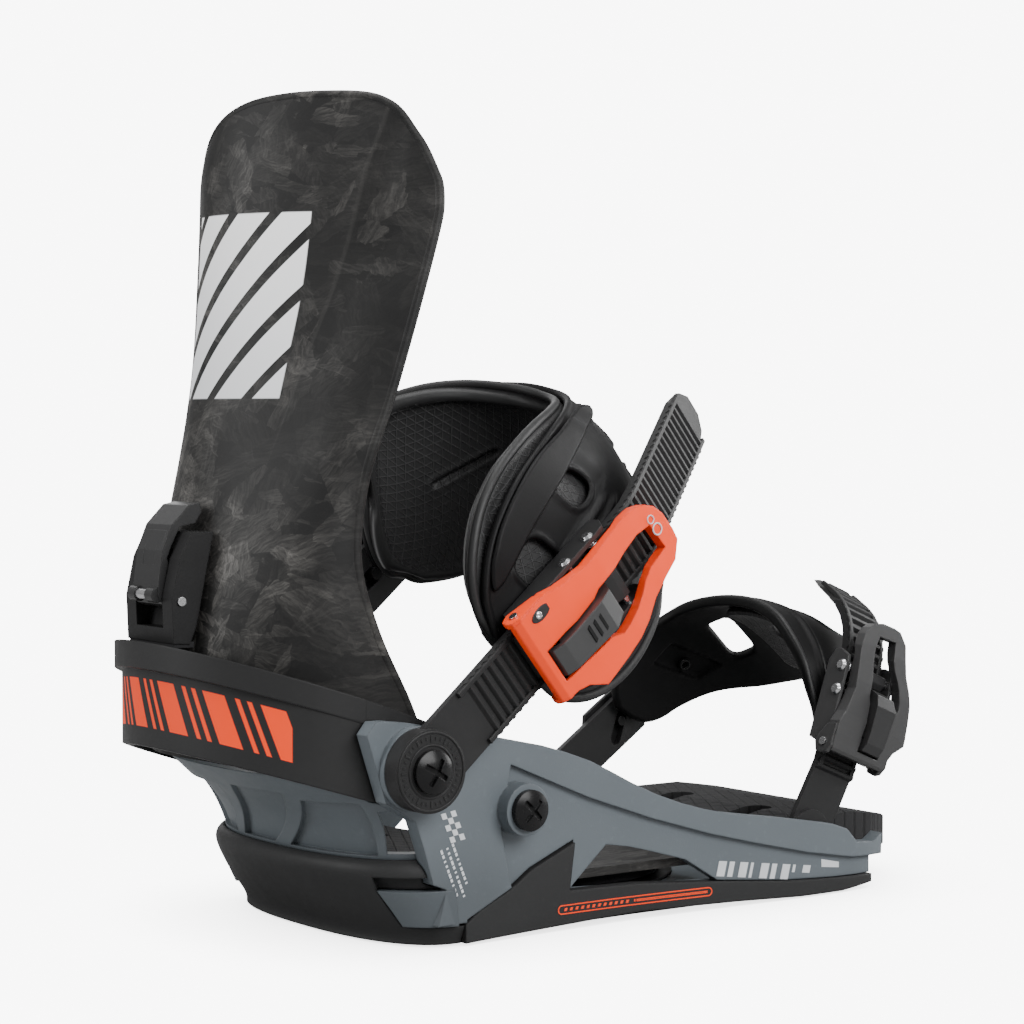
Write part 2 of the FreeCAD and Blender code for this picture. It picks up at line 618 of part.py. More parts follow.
# top edge: position across, height
TOP_EDGE = [(-1, 242), (-0.95, 246.5), (-0.9, 250), (-0.84, 254.5), (-0.77, 259),
            (-0.7, 262.5), (-0.6, 267), (-0.5, 271.2), (-0.4, 274.2), (-0.25, 275),
            (0, 274.5), (0.2, 272.5), (0.4, 268), (0.55, 262.2), (0.7, 254),
            (0.85, 245.4), (1, 238)]
SHELL_ACROSS = [-1, -0.93, -0.84, -0.7, -0.55, -0.4, -0.2, 0, 0.2, 0.4, 0.6, 0.8, 0.92, 1]
SHELL_UP = [0, 0.06, 0.15, 0.25, 0.36, 0.48, 0.6, 0.72, 0.83, 0.92, 1.0]
PAD_ACROSS = [-0.72, -0.55, -0.35, -0.15, 0.05, 0.25, 0.45, 0.62]
PAD_UP = [0.0, 0.12, 0.28, 0.45, 0.62, 0.78, 0.9, 1.0]
LEAN_SCREW_Z = 118


def highback_point(s, z):
    xs = [smooth(s, SECTION_S, [p[0] for p in row]) for row in SECTIONS]
    ys = [smooth(s, SECTION_S, [p[1] for p in row]) for row in SECTIONS]
    return V(smooth(z, SECTION_Z, xs), smooth(z, SECTION_Z, ys), z)


def highback_column(s, bottom, top, fractions):
    return [highback_point(s, bottom + (top - bottom) * r) for r in fractions]


def top_edge(s):
    return smooth(s, *zip(*TOP_EDGE))


def bottom_edge(s):
    return lerp(abs(s), [0, 0.5, 0.75, 1.0], [60.5, 59.5, 58.0, 58.0])


def make_highback():
    rear = [highback_column(s, bottom_edge(s), top_edge(s), SHELL_UP) for s in SHELL_ACROSS]
    shell = grid_solid(rear, offset_grid(rear, SHELL_T))
    shell = shell.multiFuse([cyl_y(10.5, PIVOT.x, PIVOT.z, 47.2, 6.2, side)
                             for side in SIDES])
    for side in SIDES:
        shell = shell.cut(cyl_y(BOLT_R + RUN, PIVOT.x, PIVOT.z, 30, 40, side))
        shell = shell.cut(cyl_y(8.3, PIVOT.x, PIVOT.z, 40, 7.1, side))
    # guide screw hole for the forward lean block
    return shell.cut(cyl_x(2.05, -150, LEAN_SCREW_Z, 30))


def make_highback_pad():
    # calf padding on the front face of the highback
    rear = [highback_column(s, 152.0 + 10 * abs(s), top_edge(s) - 16, PAD_UP)
            for s in PAD_ACROSS]
    return grid_solid(offset_grid(rear, SHELL_T + 4.6), offset_grid(rear, SHELL_T + 0.6))


# ---------------------------------------------------------------- forward lean adjuster
LEAN_PIN = (-154.2, 111.6)    # x, z
# side views, (x, z)
LEAN_BLOCK = [(-151.0, 97.8), (-157.0, 98.2), (-157.6, 112.5), (-154.8, 125),
              (-150.4, 133.5), (-142.4, 133.5), (-144.3, 124.5), (-148.6, 104)]
LEAN_LEVER = [(-155.2, 109.4), (-157.2, 110.4), (-159.0, 113.6), (-158.2, 120),
              (-157.2, 127.5), (-153.8, 135.6), (-147.6, 141.8), (-143.5, 142.6),
              (-142.8, 139.6), (-145.2, 136.0), (-150.8, 135.0), (-153.9, 129.0),
              (-155.5, 125.0), (-154.2, 121.5), (-153.0, 116.0), (-152.8, 110.4)]


def make_lean_block():
    def recess_floor(z):
        return (-149.6 + (z - LEAN_SCREW_Z) * 0.187, z)
    block = prism_xz(LEAN_BLOCK, -15, 15)
    recess = [(-165, 103), recess_floor(103), recess_floor(128), (-165, 128)]
    block = block.cut(prism_xz(recess, -8.6, 8.6))
    block = block.cut(cyl_y(PIN_R + SNUG, *LEAN_PIN, -20, 40))
    # upright slot for the guide screw
    slot = box(-160, -2.1, 107.5, -140, 2.1, LEAN_SCREW_Z)
    slot = slot.fuse(cyl_x(2.1, -160, LEAN_SCREW_Z, 20)).fuse(cyl_x(2.1, -160, 107.5, 20))
    return block.cut(slot)


def make_lean_lever():
    lever = prism_xz(LEAN_LEVER, -8.2, 8.2).cut(cyl_y(PIN_R + RUN, *LEAN_PIN, -20, 40))
    return largest(lever.cut(box(-160, -3.5, 123, -150, 3.5, 131)))


def make_lean_screw():
    shaft = cyl_x(2.0, -151.0, LEAN_SCREW_Z, 12.6)
    return shaft.fuse(cyl_x(3.2, -151.8, LEAN_SCREW_Z, 1.2))


def make_lean_nut():
    return cyl_x(5.0, -140.4, LEAN_SCREW_Z, 2.0).cut(cyl_x(2.0 + SNUG, -142, LEAN_SCREW_Z, 8))


# ---------------------------------------------------------------- strap frames
class StrapFrame:
    # x along the strap, y across it, z out of the binding
    def __init__(self, origin, degrees, inward):
        a = math.radians(degrees)
        e = V(math.cos(a), inward, math.sin(a))
        e.normalize()
        w = V(-math.sin(a), 0, math.cos(a))
        n = e.cross(w)
        self.matrix = FreeCAD.Matrix(e.x, w.x, n.x, origin.x, e.y, w.y, n.y, origin.y,
                                     e.z, w.z, n.z, origin.z, 0, 0, 0, 1)

    def place(self, shape):
        placed = shape.copy()
        placed.transformShape(self.matrix)
        return placed


CONNECTOR_ANGLE = 31.5
ANKLE_LADDER_FRAME = StrapFrame(V(PIVOT.x, -68.5, PIVOT.z), ANKLE_ANGLE, 0.06)
TOE_LADDER_FRAME = StrapFrame(V(83, -54.5, 18), TOE_ANGLE, 0.04)
# frames of the inner side straps, mirrored after placing
ANKLE_CONNECTOR_FRAME = StrapFrame(V(PIVOT.x, -68.5, PIVOT.z), ANKLE_ANGLE, 0.0)
ANKLE_ADJUSTER_FRAME = StrapFrame(V(PIVOT.x, -53.25, PIVOT.z), ANKLE_ANGLE, -0.06)
TOE_CONNECTOR_FRAME = StrapFrame(V(TOE_CONNECTOR_BOLT[0], -54.3, TOE_CONNECTOR_BOLT[1]),
                                 CONNECTOR_ANGLE, -0.07)

# ---------------------------------------------------------------- ladder straps
ANKLE_LADDER_HALF = [(-4, -11), (174, -11), (183, -8.6), (187, -4)]
TOE_LADDER_PLAN = [(-6, -1), (-4, -4.4), (6, -5.6), (27, -9.4), (88, -9.4), (94, -7),
                   (98, -3), (98, 3), (94, 7), (88, 9.4), (27, 9.4), (6, 13.6),
                   (-3, 14.4), (-6, 11)]


def ladder(plan, bend_start, radius, bend_angle, tail, teeth_start):
    # toothed side profile: straight, bent towards the foot, straight tail;
    # extruded across the strap and trimmed to its plan
    arc = radius * math.radians(bend_angle)
    cosine, sine = math.cos(math.radians(bend_angle)), math.sin(math.radians(bend_angle))
    root = -4

    def at(s, z):
        # s runs along the inner face, z stands off it
        if s <= bend_start:
            return (s, z)
        r = radius + z
        if s <= bend_start + arc:
            angle = (s - bend_start) / radius
            return (bend_start + r * math.sin(angle), -radius + r * math.cos(angle))
        rest = s - bend_start - arc
        return (bend_start + r * sine + rest * cosine, -radius + r * cosine - rest * sine)

    end = bend_start + arc + tail
    profile = [at(root, LADDER_TH)]
    s = teeth_start
    while s < end - 12:
        crest = LADDER_TH + TOOTH
        profile += [at(s, LADDER_TH), at(s + 0.9, crest), at(s + 2.0, crest),
                    at(s + 2.6, LADDER_TH)]
        s += PITCH
    # the tip thins out beyond the last tooth
    profile += [at(s + (end - s) * i / 3.0, LADDER_TH - 0.25 * i) for i in range(1, 4)]
    profile += [at(end - (end - bend_start) * i / 8.0, 0) for i in range(9)]
    profile.append((root, 0))
    return prism_xz(profile, -20, 20).common(prism_xy(plan, -60, 20))


def make_ankle_ladder():
    strap = ladder(symmetric(ANKLE_LADDER_HALF), bend_start=108.0, radius=50.0,
                   bend_angle=22.5, tail=66.0, teeth_start=28.0)
    strap = ANKLE_LADDER_FRAME.place(strap.cut(cyl_z(2.0, 0, 0, -20, 60)))
    strap = strap.fuse(cyl_y(13.25, PIVOT.x, PIVOT.z, 66.7, 6.4, -1))
    return strap.cut(cyl_y(BOLT_R + RUN, PIVOT.x, PIVOT.z, 50, 40, -1))


def make_toe_ladder():
    # bolted inside the outer rail
    root_y = 5
    strap = ladder(TOE_LADDER_PLAN, bend_start=66.0, radius=26.0,
                   bend_angle=62.0, tail=19.0, teeth_start=24.0)
    strap = strap.fuse(cyl_z(9.4, 0, root_y, 0.0, 4.1))
    return TOE_LADDER_FRAME.place(strap.cut(cyl_z(BOLT_R + 0.3, 0, root_y, -20, 60)))


# ---------------------------------------------------------------- connector straps
# ankle connector's inner face, (along, out): flat at its root, sloping in, then
# parallel to the sliding strap
CONNECTOR_LINE = [(-18, 0), (13, 0), (20, -0.8), (50, -9.9), (58, -11.8), (112, -8.56)]
CONNECTOR_TH = 2.6
CONNECTOR_HALF = [(-10, -10), (-4, -12), (4, -12.4), (14, -10.5), (106, -10.5), (110, -6.5)]
TOE_STUD_X = 50.0    # adjusting stud along the toe connector


def make_ankle_connector():
    profile = [(x, z + CONNECTOR_TH) for x, z in CONNECTOR_LINE] + CONNECTOR_LINE[::-1]
    strap = prism_xz(profile, -20, 20).common(prism_xy(symmetric(CONNECTOR_HALF), -30, 20))
    strap = strap.fuse(cyl_z(13.25, 0, 0, -1.8, 6.4))
    strap = strap.cut(cyl_z(BOLT_R + RUN, 0, 0, -20, 60))
    strap = strap.cut(slot_z(70, 100, 0, 3.0, -30, 20))
    return mirror(ANKLE_CONNECTOR_FRAME.place(strap))


def make_toe_connector():
    # from its bolt up and forward to the cap
    half = [(-8, -6), (-5, -9.2), (56, -9.2), (60, -5)]
    strap = prism_xy(symmetric(half), 0.0, 2.4)
    # the stud travels parallel to the toe ladder strap
    travel = math.radians(TOE_ANGLE - CONNECTOR_ANGLE)
    for i in range(-9, 4):
        x = TOE_STUD_X + math.cos(travel) * i * 0.8
        y = math.sin(travel) * i * 0.8
        strap = strap.cut(cyl_z(2.6, x, y, -3, 9))
    strap = strap.cut(cyl_z(BOLT_R + 0.3, 0, 0, -3, 9))
    return mirror(TOE_CONNECTOR_FRAME.place(strap.removeSplitter()))


def adjuster(half, plate_z, stud_x, stud_r, stud_z, head_r, head_z, cross):
    # plate, stud below it and cross-slotted head above; the _z pairs are
    # (bottom, top) and cross is (half length, half width, bottom, top)
    plate = prism_xy(symmetric(half), *plate_z)
    for radius, (z0, z1) in ((stud_r, stud_z), (head_r, head_z)):
        plate = plate.fuse(cyl_z(radius, stud_x, 0, z0, z1 - z0))
    return cut_cross(plate, stud_x, 0, *cross)


def make_ankle_adjuster():
    plate = adjuster([(76, -8), (78.5, -12.5), (104, -12.5), (108, -8)], plate_z=(3.2, 5.0),
                     stud_x=86, stud_r=2.4, stud_z=(-1.9, 4.6), head_r=5.6,
                     head_z=(4.6, 6.8), cross=(3.4, 0.8, 5.9, 9))
    return mirror(ANKLE_ADJUSTER_FRAME.place(plate))


def make_toe_adjuster():
    plate = adjuster([(34, -6), (38, -11), (62, -11), (66, -6)], plate_z=(3.0, 4.6),
                     stud_x=TOE_STUD_X, stud_r=1.9, stud_z=(-0.9, 3.7), head_r=4.8,
                     head_z=(4.4, 6.2), cross=(2.8, 0.7, 5.4, 8))
    return mirror(TOE_CONNECTOR_FRAME.place(plate))


# ---------------------------------------------------------------- strap pads and cap
# stations of each strap's outer face from the outer to the inner side: upper rim,
# middle, lower rim, given as (along, across, Y) in the strap's own plane
ANKLE_STATIONS = [
    ((50, 17, -61.5), (50.5, 4, -62.3), (54, -8, -61.5)),
    ((57, 30, -61.2), (60, 2, -62.3), (60, -25, -61.2)),
    ((66, 39, -60.2), (70, 2, -61.8), (70, -34.5, -60.5)),
    ((77, 45.5, -58), (84, 2, -60.9), (84, -40, -58.5)),
    ((91, 48.8, -54), (101, 3, -58.6), (100, -41, -55.5)),
    ((106, 48.2, -48), (119, 4, -52.6), (117, -38, -50.5)),
    ((121, 45, -40), (136, 5, -42), (130, -33, -42)),
    ((136, 39.5, -29), (149, 7, -28), (139, -29, -29)),
    ((148, 34.5, -16), (157, 9, -13), (144, -27, -14)),
    ((153.5, 33.5, -2), (160, 10, 3), (145, -27, 2)),
    ((154, 37, 13), (157, 12, 19), (143, -27, 18)),
    ((147, 44, 29), (147, 14, 34), (136, -26, 33)),
    ((134, 51, 41), (131, 14, 45), (124, -24, 44)),
    ((121, 53, 49), (112, 12, 52.0), (110, -20, 51)),
    ((106, 45, 53.0), (96, 10, 54.8), (97, -12, 54.2)),
    ((94, 27, 54), (86, 8, 55.6), (88, -3, 54.8))]
TOE_STATIONS = [
    ((36, 6, -48.5), (35, -2, -50.7), (37, -11, -49.2)),
    ((44, 9, -47.3), (45, -3, -50.2), (47, -15, -48.6)),
    ((52, 14, -45), (56, -3, -49.0), (57, -22, -46.5)),
    ((61, 18, -41), (66, -4, -45), (65, -31, -41)),
    ((69, 20.3, -33.5), (75, -6, -37), (71, -38, -32)),
    ((77, 20.7, -22), (82, -8, -24), (74, -43, -18)),
    ((82, 19.5, -7), (85, -9, -6), (75, -46, -3)),
    ((83, 18, 10), (85.5, -10, 13), (74, -47, 15)),
    ((80.5, 18.5, 26), (81, -10, 30), (70.5, -46, 30)),
    ((76, 17.5, 39), (73, -8, 42), (65, -40, 41.5)),
    ((66, 20, 48.5), (60, -4, 50.5), (57, -26, 49.5)),
    ((50, 23, 53.5), (46, 2, 55), (46, -14, 53.8)),
    ((36, 22, 55.5), (33, 8, 56.2), (34, -4, 55.5))]
STRAP_ACROSS = [0, 0.12, 0.3, 0.5, 0.7, 0.88, 1.0]    # from lower to upper rim
TOE_ORIGIN = V(83, 0, 18)


def strap_grid(origin, degrees, stations, start=0.0, end=1.0, inset=0.0):
    # start and end are fractions of the length, inset is kept off both rims
    a = math.radians(degrees)
    along, across = V(math.cos(a), 0, math.sin(a)), V(-math.sin(a), 0, math.cos(a))
    last = len(stations) - 1
    knots = list(range(len(stations)))
    grid = []
    for i in knots:
        u = last * (start + (end - start) * i / float(last))
        upper, middle, lower = [
            [smooth(u, knots, [station[part][k] for station in stations]) for k in range(3)]
            for part in range(3)]
        margin = inset / math.hypot(upper[1] - lower[1], upper[0] - lower[0])
        row = []
        for fraction in STRAP_ACROSS:
            v = margin + (1 - 2 * margin) * fraction
            # parabola through lower rim, middle and upper rim
            p, q, y = [lower[k] * (2*v*v - 3*v + 1) + middle[k] * (4*v - 4*v*v)
                       + upper[k] * (2*v*v - v) for k in range(3)]
            row.append(origin + along * p + across * q + V(0, y, 0))
        grid.append(row)
    return grid


def make_ankle_pad():
    face = strap_grid(PIVOT, ANKLE_ANGLE, ANKLE_STATIONS, 0.01, 0.99)
    return grid_solid(offset_grid(face, -FRAME_T - 0.5),
                      offset_grid(face, -FRAME_T - PAD_T + 1.0))


def make_ankle_frame():
    face = strap_grid(PIVOT, ANKLE_ANGLE, ANKLE_STATIONS, inset=5)
    return grid_solid(face, offset_grid(face, -FRAME_T))


def make_toe_cap():
    face = strap_grid(TOE_ORIGIN, TOE_ANGLE, TOE_STATIONS)
    return grid_solid(face, offset_grid(face, -CAP_T))


def make_toe_liner():
    face = strap_grid(TOE_ORIGIN, TOE_ANGLE, TOE_STATIONS, 0.22, 0.86, inset=7)
    return grid_solid(offset_grid(face, -CAP_T - 0.4), offset_grid(face, -CAP_T - 3.0))


# ---------------------------------------------------------------- ratchet buckles
# plan outlines (along, across) at the size of the ankle buckle
LEVER = [(50.2, 15.6), (57.8, 16.6), (65.7, 16.6), (71.9, 14.4), (77.8, 13.2), (85, 11.9),
         (93, 12.2), (108.1, 12.7), (114.9, 11.5), (119.1, 9.4), (122.4, 6.1),
         (124.2, 1.6), (124.6, -5.4), (124.0, -9.5), (118.4, -13.8), (110.5, -15.0),
         (102.5, -16.8), (95, -20.1), (88, -22), (80.2, -22.9), (67, -23.6),
         (61, -18.5), (56.5, -16.8), (50.2, -16.8)]
LEVER_WINDOW = [(116.6, 2.7), (117.4, -7.6), (107.4, -7.9), (102.6, -9.4), (97.3, -12.4),
                (93.3, -14.0), (87.4, -15.4), (83.4, -15.8), (78.5, -13.2), (71.9, -12.6),
                (64.3, -11.8), (54.7, -11.2), (54.7, 1.6), (64, 1.6), (70.3, 1.2),
                (80.4, 1.6), (84.1, 2.8), (94.4, 3.0), (101.1, 4.0), (109.3, 4.4)]
RELEASE_PLAN = [(55.4, 0.6), (55.4, -9.6), (80, -10.6), (88.6, -8.2), (88.6, 1.0),
                (80, 1.0), (66, 0.4)]
# side view of the release lever, (along, height)
RELEASE_SIDE = [(55.4, 10.6), (55.8, 13.6), (60, 15.4), (80, 16.4), (86, 15.0),
                (88.6, 11.0), (88.6, 7.4), (86.6, 5.2), (82, 4.0), (79.2, 5.4),
                (78, 9.4), (66, 11.2)]


def pin_hole(pin, clearance):
    return cyl_y(PIN_R + clearance, *pin, -60, 120)


class Buckle:
    # lengths and widths scale from the ankle buckle, heights do not; start is
    # the place of ankle position 50
    def __init__(self, name, frame, start, length_scale, width_scale, wall, floor_end):
        self.name, self.frame = name, frame
        self.start, self.length_scale, self.width_scale = start, length_scale, width_scale
        self.wall, self.floor_end = wall, floor_end
        self.wall_in = self.across(13.2)
        self.wall_out = self.wall_in + wall
        self.half = self.across(30)    # wider than every outline
        # pins as (along, height)
        self.lever_pin = (self.along(54.0), 8.0)
        self.release_pin = (self.along(83.0), 5.6)
        self.holding_pin = (self.along(96.0), 5.3)

    def along(self, s):
        return self.start + (s - 50) * self.length_scale

    def across(self, w):
        return w * self.width_scale

    def plan(self, points):
        return [(self.along(s), self.across(w)) for s, w in points]

    def base(self):
        # floor under the ladder strap and two side walls
        along, end = self.along, self.floor_end
        x = self.lever_pin[0]
        base = box(along(57), -self.wall_out, -1.8, end, self.wall_out, -0.3)
        side_view = [(along(57), -1.8), (end, -1.8), (along(105), 0.6), (along(105), 3.4),
                     (along(102), 7.4), (along(98), 7.9), (along(62), 7.9),
                     (x + 3.0, 9.2), (x + 2.0, 10.2), (x, 10.7), (x - 2.0, 10.2),
                     (x - 2.9, 8.6), (x - 2.4, 6.4), (along(55), 2.0)]
        for side in SIDES:
            base = base.fuse(prism_xz(side_view, side * self.wall_in, side * self.wall_out))
        for pin in (self.lever_pin, self.release_pin, self.holding_pin):
            base = base.cut(pin_hole(pin, SNUG))
        return base.removeSplitter()

    def lever(self):
        # skin with cheeks outside the walls, handle loop beyond
        along = self.along
        x, z = self.lever_pin
        profile = [(x - 4.3, z + 0.4), (x - 3.6, z + 2.6), (x - 1.6, z + 4.2), (x + 4, 12.9),
                   (along(70), 13.2), (along(90), 12.6), (along(110), 11.0),
                   (along(124.6), 9.4), (along(124.6), 5.6), (along(112), 6.6),
                   (along(104), 8.3), (along(64), 8.3), (x + 4.4, 11.0),
                   (x, z + 3.2), (x - 2.2, z + 2.3), (x - 3.2, z)]
        lever = prism_xz(profile, -self.half, self.half)
        lever = lever.common(prism_xy(self.plan(LEVER), -5, 30))
        cheek = [(x - 4.2, z), (x - 3.4, z - 2.6), (x, z - 4.0), (x + 3.4, z - 2.6),
                 (along(64), 8.3), (along(64), 12.4), (x - 1.0, z + 4.2), (x - 3.6, z + 2.4)]
        y = self.wall_out + 0.25
        for side in SIDES:
            lever = lever.fuse(prism_xz(cheek, side * y, side * (y + 1.9)))
        lever = lever.cut(prism_xy(self.plan(LEVER_WINDOW), -5, 30))
        return lever.cut(pin_hole(self.lever_pin, RUN)).removeSplitter()

    def drive_pawl(self):
        # carried by the lever
        x, z = self.lever_pin
        half = self.across(10.0)
        profile = [(x + 2.2, z + 1.6), (x - 1.5, z + 2.2), (x - 2.6, z), (x - 1.2, z - 2.4),
                   (x + 2.2, z - 3.0), (x + 6.2, z - 4.3), (x + 6.8, z - 3.4),
                   (x + 3.4, z - 0.4)]
        return prism_xz(profile, -half, half).cut(pin_hole(self.lever_pin, RUN))

    def release_lever(self):
        # sits in the lever's window
        profile = [(self.along(s), z) for s, z in RELEASE_SIDE]
        lever = prism_xz(profile, -self.half, self.half)
        lever = lever.common(prism_xy(self.plan(RELEASE_PLAN), -5, 40))
        lever = lever.cut(pin_hole(self.release_pin, RUN))
        # hollow below its tip, where the drive pawl swings through
        x, z = self.lever_pin
        hollow = [(x, z)]
        for degrees in range(-40, 42, 8):
            a = math.radians(degrees)
            hollow.append((x + 8.0 * math.cos(a), z + 8.0 * math.sin(a)))
        return lever.cut(prism_xz(hollow, -self.half - 1, self.half + 1)).removeSplitter()

    def holding_pawl(self):
        x = self.holding_pin[0]
        half = self.across(10.4)
        reach = max(self.length_scale, 0.8)
        profile = [(x - 4.8 * reach, 3.75), (x - 4.2 * reach, 5.8), (x - 1.2, 7.3),
                   (x + 1.6, 7.3), (x + 2.4, 5.4), (x + 1.0, 3.78), (x - 1.2, 4.0),
                   (x - 2.6, 4.8), (x - 3.8 * reach, 3.7)]
        return prism_xz(profile, -half, half).cut(pin_hole(self.holding_pin, RUN))

    def lever_rod(self):
        reach = self.wall_out + 2.6
        return cyl_y(PIN_R, *self.lever_pin, -reach, 2 * reach)

    def rivets(self):
        # release and holding pins with tapered heads
        rivets = []
        reach = self.wall_out + 0.2
        for x, z in (self.release_pin, self.holding_pin):
            rivet = cyl_y(PIN_R, x, z, -reach, 2 * reach)
            for side in SIDES:
                rivet = rivet.fuse(Part.makeCone(
                    2.3, PIN_R, 0.9, V(x, side * (self.wall_out + 0.05), z), V(0, side, 0)))
            rivets.append(rivet)
        return Part.makeCompound(rivets)

    def pawl_spring(self):
        # torsion spring beside the holding pawl
        coil_r, wire_r, coil_pitch = 2.1, 0.28, 0.75
        helix = Part.makeHelix(coil_pitch, self.across(12.6) - self.across(11.3), coil_r)
        section = Part.Wire([Part.makeCircle(wire_r, V(coil_r, 0, 0), V(0, 1, 0))])
        spring = Part.Wire(helix).makePipeShell([section], True, True)
        spring.rotate(V(0, 0, 0), V(1, 0, 0), -90)
        x, z = self.holding_pin
        spring.translate(V(x, self.across(11.35) + 0.05, z))
        return spring

    def save_all(self):
        for piece, shape in (("buckle_base", self.base()),
                             ("buckle_lever", self.lever()),
                             ("drive_pawl", self.drive_pawl()),
                             ("release_lever", self.release_lever()),
                             ("holding_pawl", self.holding_pawl()),
                             ("lever_pin", self.lever_rod()),
                             ("buckle_rivets", self.rivets()),
                             ("pawl_spring", self.pawl_spring())):
            save(self.name + "_" + piece, self.frame.place(shape))


# ---------------------------------------------------------------- build and write
outer_rail = make_rail()
side_bumper = rail_prism(SILL).common(band(0.6, RAIL_T))

save("side_bumper_outer", side_bumper)
save("side_bumper_inner", mirror(side_bumper))
save("heel_bumper", make_heel_bumper(outer_rail))
save("toe_bumper", make_toe_bumper())
save("base_gasket", make_gasket())
save("carbon_plate", make_carbon_plate())
save("mounting_disc", make_mounting_disc())
save("disc_cover", cyl_z(43.0, 0, 0, 9.4, 4.2))
save("footbed_heel", make_footbed_heel())
save("heel_tread_plate", make_heel_tread())
save("toe_ramp", make_toe_ramp())
save("toe_ramp_screws", make_ramp_screws())
save("heelcup", make_heelcup())
save("baseplate", make_baseplate(outer_rail))
save("heelcup_bolts", make_cup_bolts())
save("heelcup_nut_plates", make_cup_nut_plates())
save("highback", make_highback())
save("highback_pad", make_highback_pad())
save("lean_block", make_lean_block())
save("lean_lever", make_lean_lever())
save("lean_lever_pin", cyl_y(PIN_R, *LEAN_PIN, -15.6, 31.2))
save("lean_screw", make_lean_screw())
save("lean_nut", make_lean_nut())
save("ankle_ladder", make_ankle_ladder())
save("ankle_mount_bolts", make_ankle_bolts())
save("ankle_mount_nuts", make_ankle_nuts())
save("ankle_connector", make_ankle_connector())
save("ankle_strap_pad", make_ankle_pad())
save("ankle_strap_frame", make_ankle_frame())
save("toe_strap_cap", make_toe_cap())
save("toe_cap_liner", make_toe_liner())
save("toe_ladder", make_toe_ladder())
save("toe_strap_bolts", make_toe_bolts())
save("toe_connector", make_toe_connector())
Buckle("ankle", ANKLE_LADDER_FRAME, start=50, length_scale=1.0, width_scale=1.0,
       wall=1.6, floor_end=104.0).save_all()
Buckle("toe", TOE_LADDER_FRAME, start=30, length_scale=0.70, width_scale=0.86,
       wall=1.4, floor_end=64.0).save_all()
save("ankle_adjuster", make_ankle_adjuster())
save("toe_adjuster", make_toe_adjuster())
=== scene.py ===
"""Snowboard binding: materials, straps, highback padding, small parts, prints and a studio.

The toe points along +X, the heel along -X and Z is up. The outer side, which carries the
buckles, faces -Y. Scene units are metres. Shapes are given in millimetres and scaled by MM,
while materials work in metres throughout.
"""
import bpy, bmesh, math
import numpy as np
from types import SimpleNamespace
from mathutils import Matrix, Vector
from mathutils.bvhtree import BVHTree


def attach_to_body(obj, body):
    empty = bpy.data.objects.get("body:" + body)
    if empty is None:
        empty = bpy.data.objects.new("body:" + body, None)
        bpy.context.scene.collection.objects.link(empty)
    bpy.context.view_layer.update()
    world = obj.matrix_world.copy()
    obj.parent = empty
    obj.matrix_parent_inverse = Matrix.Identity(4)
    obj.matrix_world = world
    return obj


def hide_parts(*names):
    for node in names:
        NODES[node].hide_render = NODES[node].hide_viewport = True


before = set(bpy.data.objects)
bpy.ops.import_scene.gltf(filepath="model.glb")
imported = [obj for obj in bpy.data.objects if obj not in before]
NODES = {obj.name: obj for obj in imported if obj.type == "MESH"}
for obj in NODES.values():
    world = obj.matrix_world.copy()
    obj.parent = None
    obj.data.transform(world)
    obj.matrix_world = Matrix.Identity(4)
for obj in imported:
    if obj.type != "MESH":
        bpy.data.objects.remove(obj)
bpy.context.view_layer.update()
MM = 0.001

# ------------------------------------------------------------------ material builder
class Value:
    """A node output. Arithmetic on it adds math nodes to its material."""
    def __init__(self, mat, socket):
        self.mat, self.socket = mat, socket

    def __add__(self, other): return self.mat.math("ADD", self, other)
    def __radd__(self, other): return self.mat.math("ADD", other, self)
    def __sub__(self, other): return self.mat.math("SUBTRACT", self, other)
    def __rsub__(self, other): return self.mat.math("SUBTRACT", other, self)
    def __mul__(self, other): return self.mat.math("MULTIPLY", self, other)
    def __rmul__(self, other): return self.mat.math("MULTIPLY", other, self)
    def __pow__(self, other): return self.mat.math("POWER", self, other)
    def __abs__(self): return self.mat.math("ABSOLUTE", self)


